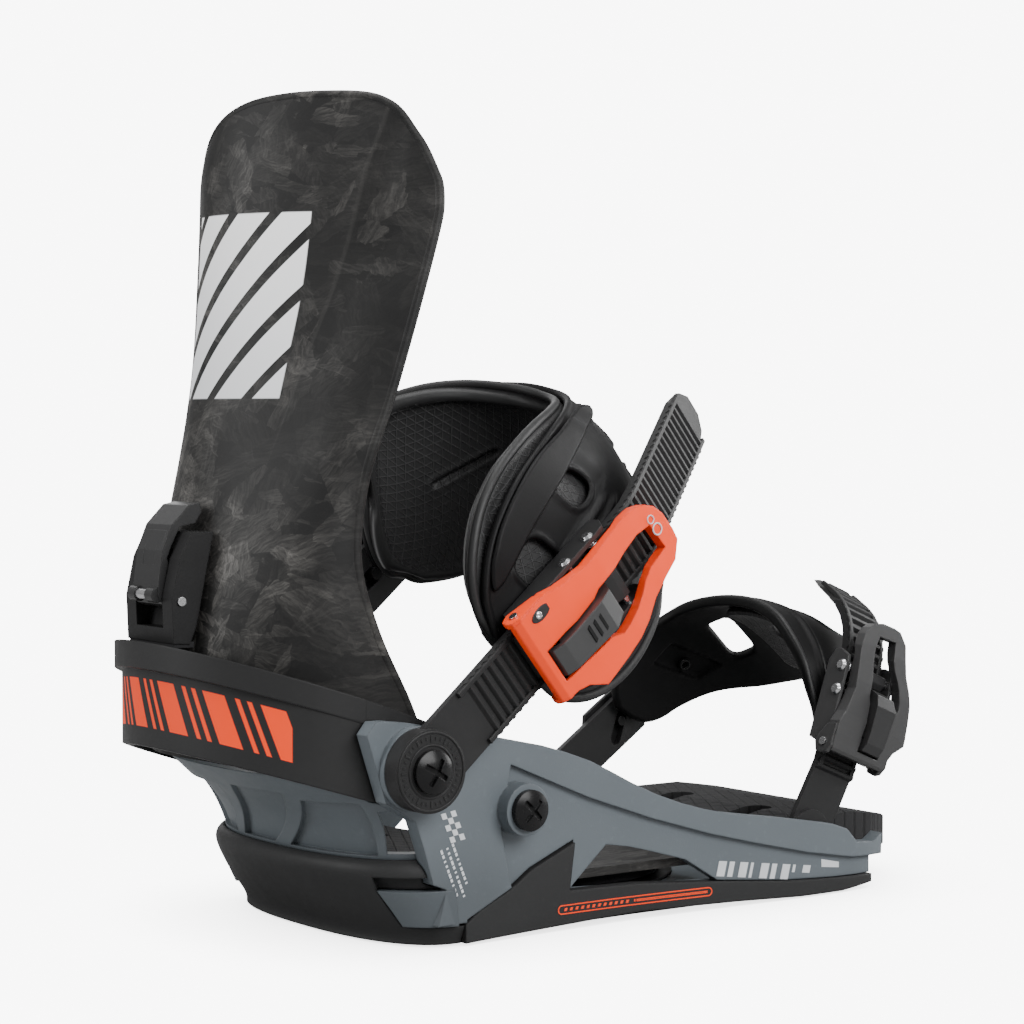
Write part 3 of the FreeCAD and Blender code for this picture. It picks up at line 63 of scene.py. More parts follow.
class Mat:
    """Builder for one procedural material. Arguments are Values, numbers or tuples."""
    def __init__(self, name):
        self.material = bpy.data.materials.new(name)
        self.material.use_nodes = True
        self.tree = self.material.node_tree
        self.tree.nodes.clear()
        output = self.tree.nodes.new("ShaderNodeOutputMaterial")
        self.shader = self.tree.nodes.new("ShaderNodeBsdfPrincipled")
        self.tree.links.new(self.shader.outputs[0], output.inputs[0])
        coords = self.tree.nodes.new("ShaderNodeTexCoord")
        self.position = Value(self, coords.outputs["Object"])
        self.uv = Value(self, coords.outputs["UV"])

    def put(self, value, socket):
        if isinstance(value, Value):
            self.tree.links.new(value.socket, socket)
        elif isinstance(value, tuple) and socket.type == "RGBA":
            socket.default_value = (*value, 1)
        else:
            socket.default_value = value

    def node(self, kind, inputs, **settings):
        node = self.tree.nodes.new("ShaderNode" + kind)
        for key, setting in settings.items():
            setattr(node, key, setting)
        for key, value in inputs.items():
            self.put(value, node.inputs[key])
        return node

    def value(self, kind, inputs, output=0, **settings):
        return Value(self, self.node(kind, inputs, **settings).outputs[output])

    def math(self, operation, *values):
        return self.value("Math", dict(enumerate(values)), operation=operation)

    def vector(self, operation, *values, output=0):
        return self.value("VectorMath", dict(enumerate(values)), output, operation=operation)

    def scaled(self, vector, factor):
        return self.value("VectorMath", {0: vector, "Scale": factor}, operation="SCALE")

    def combine(self, x, y, z):
        return self.value("CombineXYZ", {0: x, 1: y, 2: z})

    def split(self, vector, kind="SeparateXYZ"):
        return [Value(self, socket) for socket in self.node(kind, {0: vector}).outputs]

    def normal_xyz(self):
        return self.value("NewGeometry", {}, "Normal")

    def rotate_x(self, vector, angle):
        return self.value("VectorRotate", {"Vector": vector, "Angle": angle},
                          rotation_type="X_AXIS")

    def ramp(self, value, start, end):
        """Smooth rise from 0 at start to 1 at end, where end may lie below start."""
        if end < start:
            inputs = {0: value, 1: end, 2: start, 3: 1, 4: 0}
        else:
            inputs = {0: value, 1: start, 2: end}
        return self.value("MapRange", inputs, interpolation_type="SMOOTHSTEP")

    def band(self, value, low, high, soft):
        """1 between low and high, with edges softened by soft to either side."""
        return self.ramp(value, low - soft, low + soft) * self.ramp(value, high + soft, high - soft)

    def repeat_distance(self, value, pitch):
        """0 half way through each pitch, rising to 0.5 at its ends."""
        return abs(self.math("FRACT", value * (1 / pitch)) - 0.5)

    def noise(self, scale, detail=3, rough=0.5, at=None, output=0):
        inputs = {"Vector": at or self.position, "Scale": scale, "Detail": detail,
                  "Roughness": rough}
        return self.value("TexNoise", inputs, output)

    def wobble(self, scale, detail, rough, amount):
        """Random vector centred on zero."""
        colour = self.noise(scale, detail, rough, output=1)
        return self.scaled(self.vector("SUBTRACT", colour, (0.5, 0.5, 0.5)), amount)

    def mix(self, factor, first, second):
        # sockets 6 and 7 are the colour inputs, output 2 the colour result
        return self.value("Mix", {0: factor, 6: first, 7: second}, 2, data_type="RGBA")

    def bevel(self, radius):
        return self.value("Bevel", {"Radius": radius}, samples=3)

    def bump(self, height, distance, strength=1.0, normal=None):
        inputs = {"Strength": strength, "Distance": distance, "Height": height}
        if normal is not None:
            inputs["Normal"] = normal
        return self.value("Bump", inputs)

    def finish(self, colour, rough, normal, metal=0.0, spec=0.5):
        inputs = {"Base Color": colour, "Roughness": rough, "Metallic": metal,
                  "Specular IOR Level": spec, "Coat Roughness": 0.2, "Normal": normal}
        for key, value in inputs.items():
            self.put(value, self.shader.inputs[key])
        return self.material


def tone(colour, factor):
    return tuple(min(1.0, channel * factor) for channel in colour)


# ------------------------------------------------------------------ materials
GREY = (0.104, 0.121, 0.134)
BLACK = (0.0085, 0.0085, 0.0088)
ORANGE = (1.0, 0.060, 0.006)
PAD_BLACK = (0.0165, 0.0165, 0.0168)


def plastic(name, colour, rough=0.5, grain=1300, depth=0.00003, mottle=0.10, bevel=0.0004,
            spec=0.4, extra=None):
    """Moulded plastic: fine grain of the given scale and depth, mottling, softened edges.

    extra(mat, colour, height) may change both, for a pattern, a print or painted shade, and returns
    both values.
    """
    m = Mat(name)
    clouds = m.noise(45)
    fine = m.noise(grain, detail=2)
    c = m.mix(clouds, tone(colour, 1 - mottle), tone(colour, 1 + mottle))
    flecks = m.ramp(m.noise(420, detail=4), 0.58, 0.75)
    c = m.mix(flecks * 0.25, c, tone(colour, 1.35))
    rough_value = m.noise(160) * 0.16 + (rough - 0.08)
    height = fine + clouds * 0.5
    if extra:
        c, height = extra(m, c, height)
    soft_edges = m.bevel(bevel) if bevel else None
    normal = m.bump(height, depth, normal=soft_edges)
    return m.finish(c, rough_value, normal, spec=spec)


def brushed_metal(name, colour, rough):
    """Metal with fine scratches along Y."""
    m = Mat(name)
    stretched = m.vector("MULTIPLY", m.position, m.combine(900.0, 60.0, 900.0))
    scratch = m.noise(3.0, detail=4, rough=0.6, at=stretched)
    c = m.mix(scratch, tone(colour, 0.82), tone(colour, 1.15))
    rough_value = scratch * 0.22 + (rough - 0.08)
    normal = m.bump(scratch, 0.00001, strength=0.6, normal=m.bevel(0.00025))
    return m.finish(c, rough_value, normal, metal=1.0)


# chip layers of the pressed fibre: scale, offset, brightness weight, angle in degrees
CHIP_LAYERS = ((64, 0.0, 0.42, 25), (108, 3.7, 0.55, 115), (175, 8.1, 0.62, 70),
               (290, 5.5, 0.55, 160))
PRINT_Z = (0.1760, 0.2365)      # height range of the printed bars
PRINT_HALF = 0.0225             # half width of the printed field
PRINT_PITCH = 0.0150
CREASE_Y, CREASE_Z, CREASE_LEAN = -0.0262, 0.160, -0.070


def fibre_chips(m):
    """Brightness of overlapping angular chips, each with its own fibre direction."""
    jittered = m.vector("ADD", m.position, m.wobble(150, 3, 0.65, amount=0.0021))
    flat = m.vector("MULTIPLY", jittered, (0.25, 1.0, 1.0))
    swirl = m.wobble(95, 2, 0.5, amount=0.0040)
    bright = 0.0
    for scale, offset, weight, degrees in CHIP_LAYERS:
        angle = math.radians(degrees)
        shifted = m.vector("ADD", flat, (offset, offset * 1.7, offset * 0.6))
        long_cells = m.vector("MULTIPLY", m.rotate_x(shifted, angle), (1.0, 0.42, 1.0))
        cell = m.value("TexVoronoi", {"Vector": long_cells, "Scale": scale}, "Color",
                       feature="F1", distance="CHEBYCHEV")
        turn, shine, _ = m.split(cell, "SeparateColor")
        fibres = m.rotate_x(shifted, turn * 1.6 + (angle - 0.8))
        fibres = m.vector("MULTIPLY", m.vector("ADD", fibres, swirl), (110.0, 190.0, 1500.0))
        strand = m.noise(1.0, rough=0.62, at=fibres)
        bright = bright + shine ** 3.8 * (m.ramp(strand, 0.34, 0.74) * 0.85 + 0.15) * weight
    cloud = m.ramp(m.noise(24, rough=0.55), 0.38, 0.64)
    bright = bright * (cloud * 0.80 + 0.22)
    wisps = m.ramp(m.noise(210, detail=6, rough=0.78), 0.55, 0.72) * 0.26
    return m.math("MINIMUM", bright + wisps * cloud, 1.0)


def forged(name, printed):
    """Pressed chopped-fibre shell with a crease, and pale slanted bars if printed."""
    m = Mat(name)
    _, y, z = m.split(m.position)[:3]
    bright = fibre_chips(m)
    c = m.mix(bright, (0.0050, 0.0050, 0.0051), (0.150, 0.143, 0.134))
    c = m.mix(m.noise(14, detail=2) * 0.22, c, (0.018, 0.0175, 0.017))
    rough = (1.0 - bright) * 0.16 + 0.44
    # fold line down the -Y side: the part beyond it tilts away in the bump, and its darker tone is
    # painted shade
    crease = y - ((z - CREASE_Z) * CREASE_LEAN + CREASE_Y)
    tilt = m.math("MAXIMUM", crease * -1.0, 0.0) * m.ramp(z, 0.130, 0.170)
    height = bright * 0.05 + m.noise(900, detail=2) * 0.06
    normal = m.bump(height, 0.0004, normal=m.bevel(0.0006))
    normal = m.bump(tilt * 16.0, 0.010, normal=normal)
    # painted shade: colour darkened on the facet beyond the fold
    side = m.ramp(crease, 0.0006, -0.0006) * m.ramp(z, 0.120, 0.185)
    c = m.scaled(c, 1.0 - side * 0.56)
    bars = 0.0
    if printed:
        # painted highlight: a thin lighter line along the fold
        edge = m.ramp(abs(crease), 0.0008, 0.0002) * m.ramp(z, 0.140, 0.185)
        c = m.mix(edge * 0.10, c, (0.075, 0.072, 0.068))
        across = y + (z - 0.207) * -0.05
        slant = m.math("FRACT", (across + z * 0.75) * (1 / PRINT_PITCH))
        field = m.band(z, *PRINT_Z, soft=0.0003) * m.band(slant, 0.13, 0.87, soft=0.010)
        field = field * m.ramp(abs(across), PRINT_HALF + 0.0002, PRINT_HALF - 0.0002)
        bars = m.math("MAXIMUM", bars, field)
    # only faces turned towards -X carry the print
    normal_x = m.split(m.normal_xyz())[0]
    bars = bars * m.ramp(normal_x, -0.05, -0.15)
    pale = m.mix(m.ramp(z, 0.17, 0.245), (0.72, 0.73, 0.75), (1.0, 1.0, 1.0))
    c = m.mix(bars, c, m.mix(m.noise(60) * 0.15, pale, (0.65, 0.66, 0.68)))
    return m.finish(c, rough, normal, spec=0.26)


CUP_CENTRE = 0.104      # the cup curves round X = -CUP_CENTRE
CUP_RADIUS = 0.058


def cup_arrows(m, c, height):
    """Orange slanted marks round the back, following the slope of the heelcup."""
    x, y, z = m.split(m.position)
    around = m.math("ARCTAN2", y, (x + CUP_CENTRE) * -1.0) * CUP_RADIUS
    rise = z - ((x + 0.110) * -0.335 + 0.0620)
    slanted = around + rise * -0.42
    phase = m.math("FRACT", (slanted + 0.0615) * (1 / 0.0205))
    # one wide and two narrow marks in each repeat
    marks = m.math("MAXIMUM", m.band(phase, 0.06, 0.46, 0.010), m.band(phase, 0.60, 0.68, 0.010))
    marks = m.math("MAXIMUM", marks, m.band(phase, 0.80, 0.88, 0.010))
    marks = marks * m.ramp(abs(rise), 0.0079, 0.0076)
    marks = marks * m.ramp(abs(around), 0.0592, 0.0588)
    outward = m.vector("MULTIPLY", m.combine(x + CUP_CENTRE, y, 0.0), (1.0, 1.0, 0.0))
    facing = m.vector("DOT_PRODUCT", m.normal_xyz(), outward, output="Value")
    marks = marks * m.ramp(facing, 0.0, 0.004)
    return m.mix(marks, c, ORANGE), height


TREAD_BLACK = (0.020, 0.020, 0.021)
TREAD_PITCH = 0.0052
TAN_30 = 0.577


def tread_grooves(m, c, height):
    """Two crossing sets of grooves, darkened with painted shade."""
    x, y, _ = m.split(m.position)
    first = m.repeat_distance(x + y * TAN_30, TREAD_PITCH)
    second = m.repeat_distance(x - y * TAN_30, TREAD_PITCH)
    raised = m.ramp(m.math("MINIMUM", first, second), 0.03, 0.09)
    height = raised * 16.0 + height
    # painted shade: the grooves between the raised parts are darkened
    return m.mix((1.0 - raised) * 0.5, c, tone(TREAD_BLACK, 0.4)), height


def painted_heel_shade(m, c, height):
    """Painted shade: darker tone low down at the heel end."""
    x, _, z = m.split(m.position)
    shade = (1.0 - m.ramp(z, 0.012, 0.040)) * m.ramp(x, -0.040, -0.070)
    return m.mix(shade * 0.48, c, tone(GREY, 0.42)), height


GRID_PITCH = 0.0034


def grid_pad(name, colour):
    """Inner face with raised lines in three directions, from arc-length UVs in metres."""
    m = Mat(name)
    u, v, _ = m.split(m.uv)
    lines = None
    for along, across in ((0.866, 0.5), (0.866, -0.5), (0.0, 1.0)):
        place = u * along + v * across
        line = m.ramp(m.repeat_distance(place + 10.0, GRID_PITCH), 0.405, 0.465)
        if across == 1.0:
            line = line * m.ramp(m.noise(16, detail=2), 0.42, 0.60)
        lines = line if lines is None else m.math("MAXIMUM", lines, line)
    c = m.mix(m.noise(45), tone(colour, 0.9), tone(colour, 1.1))
    # painted highlight: the raised lines are lightened in colour
    c = m.mix(lines * 0.80, c, tone(colour, 3.0))
    height = lines * 1.0 + m.noise(1500, detail=2) * 0.05
    rough = m.noise(200) * 0.15 + 0.50
    return m.finish(c, rough, m.bump(height, 0.00050), spec=0.45)


MATERIALS = {
    "nylon": plastic("nylon_blue_grey", GREY, rough=0.46, grain=1500, mottle=0.06,
                     bevel=0.0008, spec=0.42, extra=painted_heel_shade),
    "bumper": plastic("bumper_black", (0.0225, 0.0228, 0.0232), rough=0.54, grain=900,
                      depth=0.00004, bevel=0.0010, spec=0.24),
    "foam": plastic("foam_black", (0.018, 0.018, 0.019), rough=0.85, grain=700,
                    depth=0.00009, mottle=0.15, bevel=0.0006, spec=0.2),
    "gasket": plastic("gasket_foam", (0.012, 0.012, 0.012), rough=0.9, grain=600,
                      depth=0.00012, mottle=0.2, bevel=0.0005, spec=0.2),
    "black": plastic("black_nylon", BLACK, rough=0.46, bevel=0.0005, spec=0.26),
    "blackgloss": plastic("black_satin_gloss", (0.0205, 0.0205, 0.0209), rough=0.36,
                          grain=1600, depth=0.000012, mottle=0.08, bevel=0.0005, spec=0.38),
    "strap": plastic("strap_urethane", (0.0160, 0.0160, 0.0163), rough=0.46, grain=1100,
                     depth=0.00002, bevel=0.00035, spec=0.26),
    "screw": plastic("black_oxide_steel", (0.0065, 0.0065, 0.0068), rough=0.27, grain=1500,
                     depth=0.00001, spec=0.22),
    "lever_black": plastic("lever_black_anodised", (0.036, 0.036, 0.0365), rough=0.38,
                           grain=1800, depth=0.000012, mottle=0.08, bevel=0.0007, spec=0.5),
    "steel": brushed_metal("brushed_steel", (0.62, 0.62, 0.63), rough=0.22),
    "orange": plastic("lever_orange", ORANGE, rough=0.40, grain=1800, depth=0.000012,
                      mottle=0.03, bevel=0.0009, spec=0.35),
    "forged": forged("forged_fibre", printed=True),
    "carbon": forged("forged_plate", printed=False),
    "cup": plastic("heelcup_satin", PAD_BLACK, rough=0.46, grain=900, depth=0.00002,
                   bevel=0.0007, spec=0.28, extra=cup_arrows),
    "tread": plastic("footbed_tread", TREAD_BLACK, rough=0.72, grain=1100, depth=0.00004,
                     spec=0.25, extra=tread_grooves),
    "pad": grid_pad("strap_inner_grid", (0.0115, 0.0115, 0.0118)),
    "pad_rim": plastic("strap_rim_rubber", PAD_BLACK, rough=0.46, grain=1000,
                       bevel=0.0006, spec=0.30),
    "frame": plastic("strap_frame_black", (0.0052, 0.0051, 0.0054), rough=0.48, grain=1200,
                     bevel=0.0005, spec=0.15),
    "cap": plastic("toe_cap_black", (0.0042, 0.0042, 0.0044), rough=0.52, grain=1200,
                   bevel=0.0005, spec=0.14),
    "white": plastic("print_white", (0.62, 0.64, 0.66), grain=900, depth=0.00002,
                     mottle=0.05, bevel=0, spec=0.3),
    "orange_print": plastic("print_orange", ORANGE, grain=900, depth=0.00002, mottle=0.04,
                            bevel=0, spec=0.3),
    "groove_painted_shade": plastic("engraved_painted_shade", (0.004, 0.004, 0.004), rough=0.6, grain=900,
                          depth=0.00002, mottle=0.05, bevel=0, spec=0.2),
}

# material key: the CAD pieces that wear it
PIECES = {
    "nylon": "baseplate",
    "bumper": "side_bumper_outer side_bumper_inner heel_bumper toe_bumper",
    "gasket": "base_gasket",
    "carbon": "carbon_plate footbed_heel",
    "forged": "highback",
    "cup": "heelcup",
    "tread": "heel_tread_plate toe_ramp",
    "foam": "disc_cover highback_pad",
    "pad": "ankle_strap_pad toe_cap_liner",
    "frame": "ankle_strap_frame",
    "cap": "toe_strap_cap",
    "orange": "ankle_buckle_lever",
    "lever_black": "ankle_release_lever toe_buckle_base toe_buckle_lever",
    "black": "mounting_disc lean_block ankle_drive_pawl toe_drive_pawl ankle_adjuster"
             " toe_adjuster",
    "blackgloss": "lean_lever ankle_buckle_base ankle_holding_pawl toe_release_lever"
                  " toe_holding_pawl",
    "strap": "ankle_ladder ankle_connector toe_ladder toe_connector",
    "screw": "toe_ramp_screws heelcup_bolts ankle_mount_bolts toe_strap_bolts",
    "steel": "heelcup_nut_plates lean_lever_pin lean_screw lean_nut ankle_mount_nuts"
             " ankle_lever_pin ankle_buckle_rivets ankle_pawl_spring toe_lever_pin"
             " toe_buckle_rivets toe_pawl_spring",
}
LOOK = {piece: MATERIALS[key] for key, pieces in PIECES.items() for piece in pieces.split()}
for name, node in NODES.items():
    for material_slot in node.material_slots:
        material_slot.material = LOOK[name]
    if not node.material_slots:
        node.data.materials.append(LOOK[name])


# ------------------------------------------------------------------ geometry helpers
def hermite(at, knots, values):
    """Smooth curve through values at the knots, held level beyond the ends."""
    last = len(knots) - 1
    if at <= knots[0]:
        return values[0]
    if at >= knots[-1]:
        return values[-1]
    i = 0
    while at > knots[i + 1]:
        i += 1

    def slope(k):
        before, after = max(k - 1, 0), min(k + 1, last)
        return (values[after] - values[before]) / (knots[after] - knots[before])

    step = knots[i + 1] - knots[i]
    t = (at - knots[i]) / step
    start, end = slope(i) * step, slope(i + 1) * step
    return ((2 * t ** 3 - 3 * t ** 2 + 1) * values[i] + (t ** 3 - 2 * t ** 2 + t) * start
            + (-2 * t ** 3 + 3 * t ** 2) * values[i + 1] + (t ** 3 - t ** 2) * end)


def fade_in(value, start, end):
    t = np.clip((np.asarray(value, float) - start) / (end - start), 0, 1)
    return t * t * (3 - 2 * t)


def fade_out(value, start, end):
    return 1 - fade_in(value, start, end)


def attach(obj, body):
    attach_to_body(obj, body)
    return obj


def add_mesh(name, vertices, faces, materials, body, uvs=None, smooth=True):
    """Mesh in metres with outward normals. materials is a list of keys."""
    mesh = bpy.data.meshes.new(name)
    mesh.from_pydata([tuple(vertex) for vertex in vertices], [], faces)
    mesh.update()
    if uvs is not None:
        layer = mesh.uv_layers.new(name="UVMap")
        corners = np.zeros(len(mesh.loops), int)
        mesh.loops.foreach_get("vertex_index", corners)
        layer.data.foreach_set("uv", np.asarray(uvs, float)[corners].ravel())
    for key in materials:
        mesh.materials.append(MATERIALS[key])
    bm = bmesh.new()
    bm.from_mesh(mesh)
    bmesh.ops.recalc_face_normals(bm, faces=bm.faces)
    for face in bm.faces:
        face.smooth = smooth
    bm.to_mesh(mesh)
    bm.free()
    obj = bpy.data.objects.new(name, mesh)
    bpy.context.scene.collection.objects.link(obj)
    return attach(obj, body)


def soften(obj, width):
    bevel = obj.modifiers.new("soft", "BEVEL")
    bevel.width, bevel.segments, bevel.limit_method = width * MM, 3, "ANGLE"
    return bevel


def tube(name, points, radius, body, material, closed=False):
    """Round bead along points, all in metres."""
    curve = bpy.data.curves.new(name, "CURVE")
    curve.dimensions = "3D"
    spline = curve.splines.new("NURBS")
    spline.points.add(len(points) - 1)
    for knot, point in zip(spline.points, points):
        knot.co = (*point, 1)
    spline.use_endpoint_u = not closed
    spline.use_cyclic_u = closed
    spline.order_u = 4
    spline.resolution_u = 4
    curve.bevel_depth = radius
    curve.bevel_resolution = 4
    curve.use_fill_caps = True
    source = bpy.data.objects.new(name, curve)
    bpy.context.scene.collection.objects.link(source)
    depsgraph = bpy.context.evaluated_depsgraph_get()
    mesh = bpy.data.meshes.new_from_object(source.evaluated_get(depsgraph))
    bpy.data.objects.remove(source)
    mesh.materials.clear()
    mesh.materials.append(MATERIALS[material])
    for face in mesh.polygons:
        face.use_smooth = True
    obj = bpy.data.objects.new(name, mesh)
    bpy.context.scene.collection.objects.link(obj)
    return attach(obj, body)


class Surface:
    """Grid of points in mm, addressed by u along it and v across it, both 0 to 1.

    Normals point to the positive side of axis `up`. `along` and `across` hold arc lengths,
    and `stations` is the value of u = 1 when counted in table rows.
    """
    def __init__(self, points, up, stations=1):
        self.points, self.stations = points, stations
        self.rows, self.columns = points.shape[0] - 1, points.shape[1] - 1
        normals = np.cross(np.gradient(points, axis=0), np.gradient(points, axis=1))
        normals /= np.linalg.norm(normals, axis=2)[:, :, None]
        if normals[self.rows // 2, self.columns // 2, up] < 0:
            normals = -normals
        self.normals = normals
        steps_u = np.linalg.norm(np.diff(points, axis=0), axis=2)
        steps_v = np.linalg.norm(np.diff(points, axis=1), axis=2)
        self.along = np.concatenate([np.zeros((1, self.columns + 1)), np.cumsum(steps_u, axis=0)], 0)
        self.across = np.concatenate([np.zeros((self.rows + 1, 1)), np.cumsum(steps_v, axis=1)], 1)

    def at(self, u, v, field):
        """Bilinear sample of a field such as points or along."""
        x, y = np.clip(u, 0, 1) * self.rows, np.clip(v, 0, 1) * self.columns
        i = np.minimum(x.astype(int), self.rows - 1)
        j = np.minimum(y.astype(int), self.columns - 1)
        fx, fy = x - i, y - j
        if field.ndim == 3:
            fx, fy = fx[..., None], fy[..., None]
        return (field[i, j] * (1 - fx) * (1 - fy) + field[i + 1, j] * fx * (1 - fy)
                + field[i, j + 1] * (1 - fx) * fy + field[i + 1, j + 1] * fx * fy)

    def lifted(self, u, v, offset):
        """One point in metres, offset mm off the surface."""
        return (self.at(u, v, self.points) + self.at(u, v, self.normals) * offset) * MM


def strap_surface(pivot, degrees, table, rows=260, columns=80):
    """Surface through a table of stations, in a plane tilted about Y at pivot (x, z)."""
    angle = math.radians(degrees)
    axes = (np.array([math.cos(angle), 0, math.sin(angle)]),
            np.array([-math.sin(angle), 0, math.cos(angle)]), [0, 1, 0])
    knots = list(range(len(table)))
    stations = len(table) - 1
    points = np.zeros((rows + 1, columns + 1, 3))
    v = np.linspace(0, 1, columns + 1)
    # quadratic through the edge at v = 1, the middle and the edge at v = 0
    weights = (2 * v * v - v, 4 * v - 4 * v * v, 2 * v * v - 3 * v + 1)
    for i in range(rows + 1):
        far, middle, near = [
            np.array([hermite(stations * i / rows, knots, [row[q][k] for row in table])
                      for k in range(3)]) for q in range(3)]
        section = (np.outer(weights[2], near) + np.outer(weights[1], middle)
                   + np.outer(weights[0], far))
        points[i] = np.array((pivot[0], 0, pivot[1])) + np.outer(section[:, 0], axes[0])
        points[i] += np.outer(section[:, 1], axes[1])
        points[i] += np.outer(section[:, 2], axes[2])
    return Surface(points, up=2, stations=stations)


RELAX_PASSES = 14


def kept_cells(surface, uu, vv, corner, holes, outline):
    """Mask of grid cells left after rounding the corners and cutting holes and outline."""
    u, v = (uu[:-1, :-1] + uu[1:, 1:]) / 2, (vv[:-1, :-1] + vv[1:, 1:]) / 2
    keep = np.ones(u.shape, bool)
    if corner:
        def to_edge(field, low, high):
            here = surface.at(u, v, field)
            return np.minimum(here - surface.at(*low, field), surface.at(*high, field) - here)

        def level(value):
            return np.full_like(u, value)

        end = to_edge(surface.along, (level(uu[0, 0]), v), (level(uu[-1, 0]), v))
        side = to_edge(surface.across, (u, level(vv[0, 0])), (u, level(vv[0, -1])))
        keep &= ~((end < corner) & (side < corner)
                  & ((corner - end) ** 2 + (corner - side) ** 2 > corner ** 2))
    for hole in holes:
        keep &= ~hole(u * surface.stations, v)
    if outline is not None:
        keep &= outline(u * surface.stations, v)
    return keep


def shell(name, surface, body, materials, top, bottom, cells, u_range=(0.0, 1.0),
          v_range=(0.0, 1.0), holes=(), corner=0.0, outline=None, second=None):
    """Closed plate on a surface.

    top and bottom take the sampled places (u, v, station, edge = mm to the rim, along,
    across) and return offsets in mm. holes and outline test (station, v). second picks
    the places that wear the second material. Cut edges are relaxed to smooth curves.
    """
    (u0, u1), (v0, v1) = u_range, v_range
    uu, vv = np.meshgrid(np.linspace(u0, u1, cells[0] + 1),
                         np.linspace(v0, v1, cells[1] + 1), indexing="ij")
    keep = kept_cells(surface, uu, vv, corner, holes, outline)
    used = np.zeros(uu.shape, bool)
    for part in (used[:-1, :-1], used[1:, :-1], used[:-1, 1:], used[1:, 1:]):
        part |= keep
    count = used.sum()
    index = -np.ones(uu.shape, int)
    index[used] = np.arange(count)
    uv = np.stack([uu[used], vv[used]], 1)
    i, j = np.nonzero(keep)
    quads = np.stack([index[i, j], index[i + 1, j], index[i + 1, j + 1], index[i, j + 1]], 1)

    edge_uses = {}
    for quad in quads:
        for k in range(4):
            a, b = int(quad[k]), int(quad[(k + 1) % 4])
            key = (a, b) if a < b else (b, a)
            edge_uses[key] = edge_uses.get(key, 0) + 1
    rim = [edge for edge, uses in edge_uses.items() if uses == 1]
    neighbours = {}
    for a, b in rim:
        neighbours.setdefault(a, []).append(b)
        neighbours.setdefault(b, []).append(a)
    on_end = (np.abs(uv[:, 0] - u0) < 1e-9) | (np.abs(uv[:, 0] - u1) < 1e-9)
    on_side = (np.abs(uv[:, 1] - v0) < 1e-9) | (np.abs(uv[:, 1] - v1) < 1e-9)
    for _ in range(RELAX_PASSES):
        relaxed = uv.copy()
        for a, beside in neighbours.items():
            if len(beside) == 2:
                moved = uv[a] * 0.4 + (uv[beside[0]] + uv[beside[1]]) / 2 * 0.6
                if on_end[a]:
                    moved[0] = uv[a][0]
                if on_side[a]:
                    moved[1] = uv[a][1]
                relaxed[a] = moved
        uv = relaxed

    u, v = uv[:, 0], uv[:, 1]
    points, normals = surface.at(u, v, surface.points), surface.at(u, v, surface.normals)
    normals = normals / np.linalg.norm(normals, axis=1)[:, None]
    along, across = surface.at(u, v, surface.along), surface.at(u, v, surface.across)
    rim_points = points[list(neighbours)]
    edge = np.empty(len(u))
    block = 4000        # keeps the distance table small
    for start in range(0, len(u), block):
        gaps = points[start:start + block][:, None, :] - rim_points[None, :, :]
        edge[start:start + block] = np.sqrt((gaps ** 2).sum(2).min(1))
    places = SimpleNamespace(u=u, v=v, station=u * surface.stations, edge=edge,
                             along=along, across=across)
    high = np.broadcast_to(top(places), u.shape)
    low = np.broadcast_to(bottom(places), u.shape)
    vertices = np.concatenate([points + normals * high[:, None],
                               points + normals * low[:, None]]) * MM
    arc = np.stack([along, across], 1)
    faces = [tuple(int(k) for k in quad) for quad in quads]
    faces += [tuple(int(k + count) for k in quad[::-1]) for quad in quads]
    faces += [(a, b, int(b + count), int(a + count)) for a, b in rim]
    obj = add_mesh(name, vertices, faces, materials, body, np.concatenate([arc, arc]) * MM)
    if second is not None:
        chosen = second(places)
        chosen = np.concatenate([chosen, chosen])
        for face in obj.data.polygons:
            face.material_index = int(max(chosen[k] for k in face.vertices))
    return obj


class StrapPlane:
    """Local axes in mm for a strap: along it, across it and out towards -Y.

    side = -1 mirrors the result to the +Y side.
    """
    def __init__(self, origin, degrees, inward, side=1):
        angle = math.radians(degrees)
        self.along = Vector((math.cos(angle), inward, math.sin(angle))).normalized()
        self.across = Vector((-math.sin(angle), 0, math.cos(angle)))
        self.out = self.along.cross(self.across)
        self.origin, self.side = Vector(origin), side

    def point(self, x, y, z):
        p = self.origin + self.along * x + self.across * y + self.out * z
        return Vector((p.x, p.y * self.side, p.z)) * MM


ANKLE_PIVOT = (-98.4, 59.2)     # x, z
ANKLE_TILT = 38.5               # degrees
TOE_PIVOT = (83, 18)
TOE_TILT = 68.0
ANKLE_PLANE = StrapPlane((ANKLE_PIVOT[0], -68.5, ANKLE_PIVOT[1]), ANKLE_TILT, 0.06)
TOE_PLANE = StrapPlane((TOE_PIVOT[0], -54.5, TOE_PIVOT[1]), TOE_TILT, 0.04)


def prism(name, plane, outline, z0, z1, body, material, bevel=0.0):
    """Flat polygon in a strap's plane, raised from z0 to z1."""
    n = len(outline)
    vertices = [plane.point(x, y, z) for z in (z0, z1) for x, y in outline]
    faces = [tuple(range(n)), tuple(range(n, 2 * n))[::-1]]
    faces += [(i, (i + 1) % n, (i + 1) % n + n, i + n) for i in range(n)]
    obj = add_mesh(name, vertices, faces, [material], body, smooth=False)
    if bevel:
        soften(obj, bevel).angle_limit = 0.6


bvh_trees = {}


def tree(node):
    if node not in bvh_trees:
        mesh = NODES[node].data
        bvh_trees[node] = BVHTree.FromPolygons([v.co for v in mesh.vertices],
                                               [tuple(p.vertices) for p in mesh.polygons])
    return bvh_trees[node]


DECAL_HALF = 0.00010    # metres
DECAL_STEP = 2.5        # longest outline step, mm


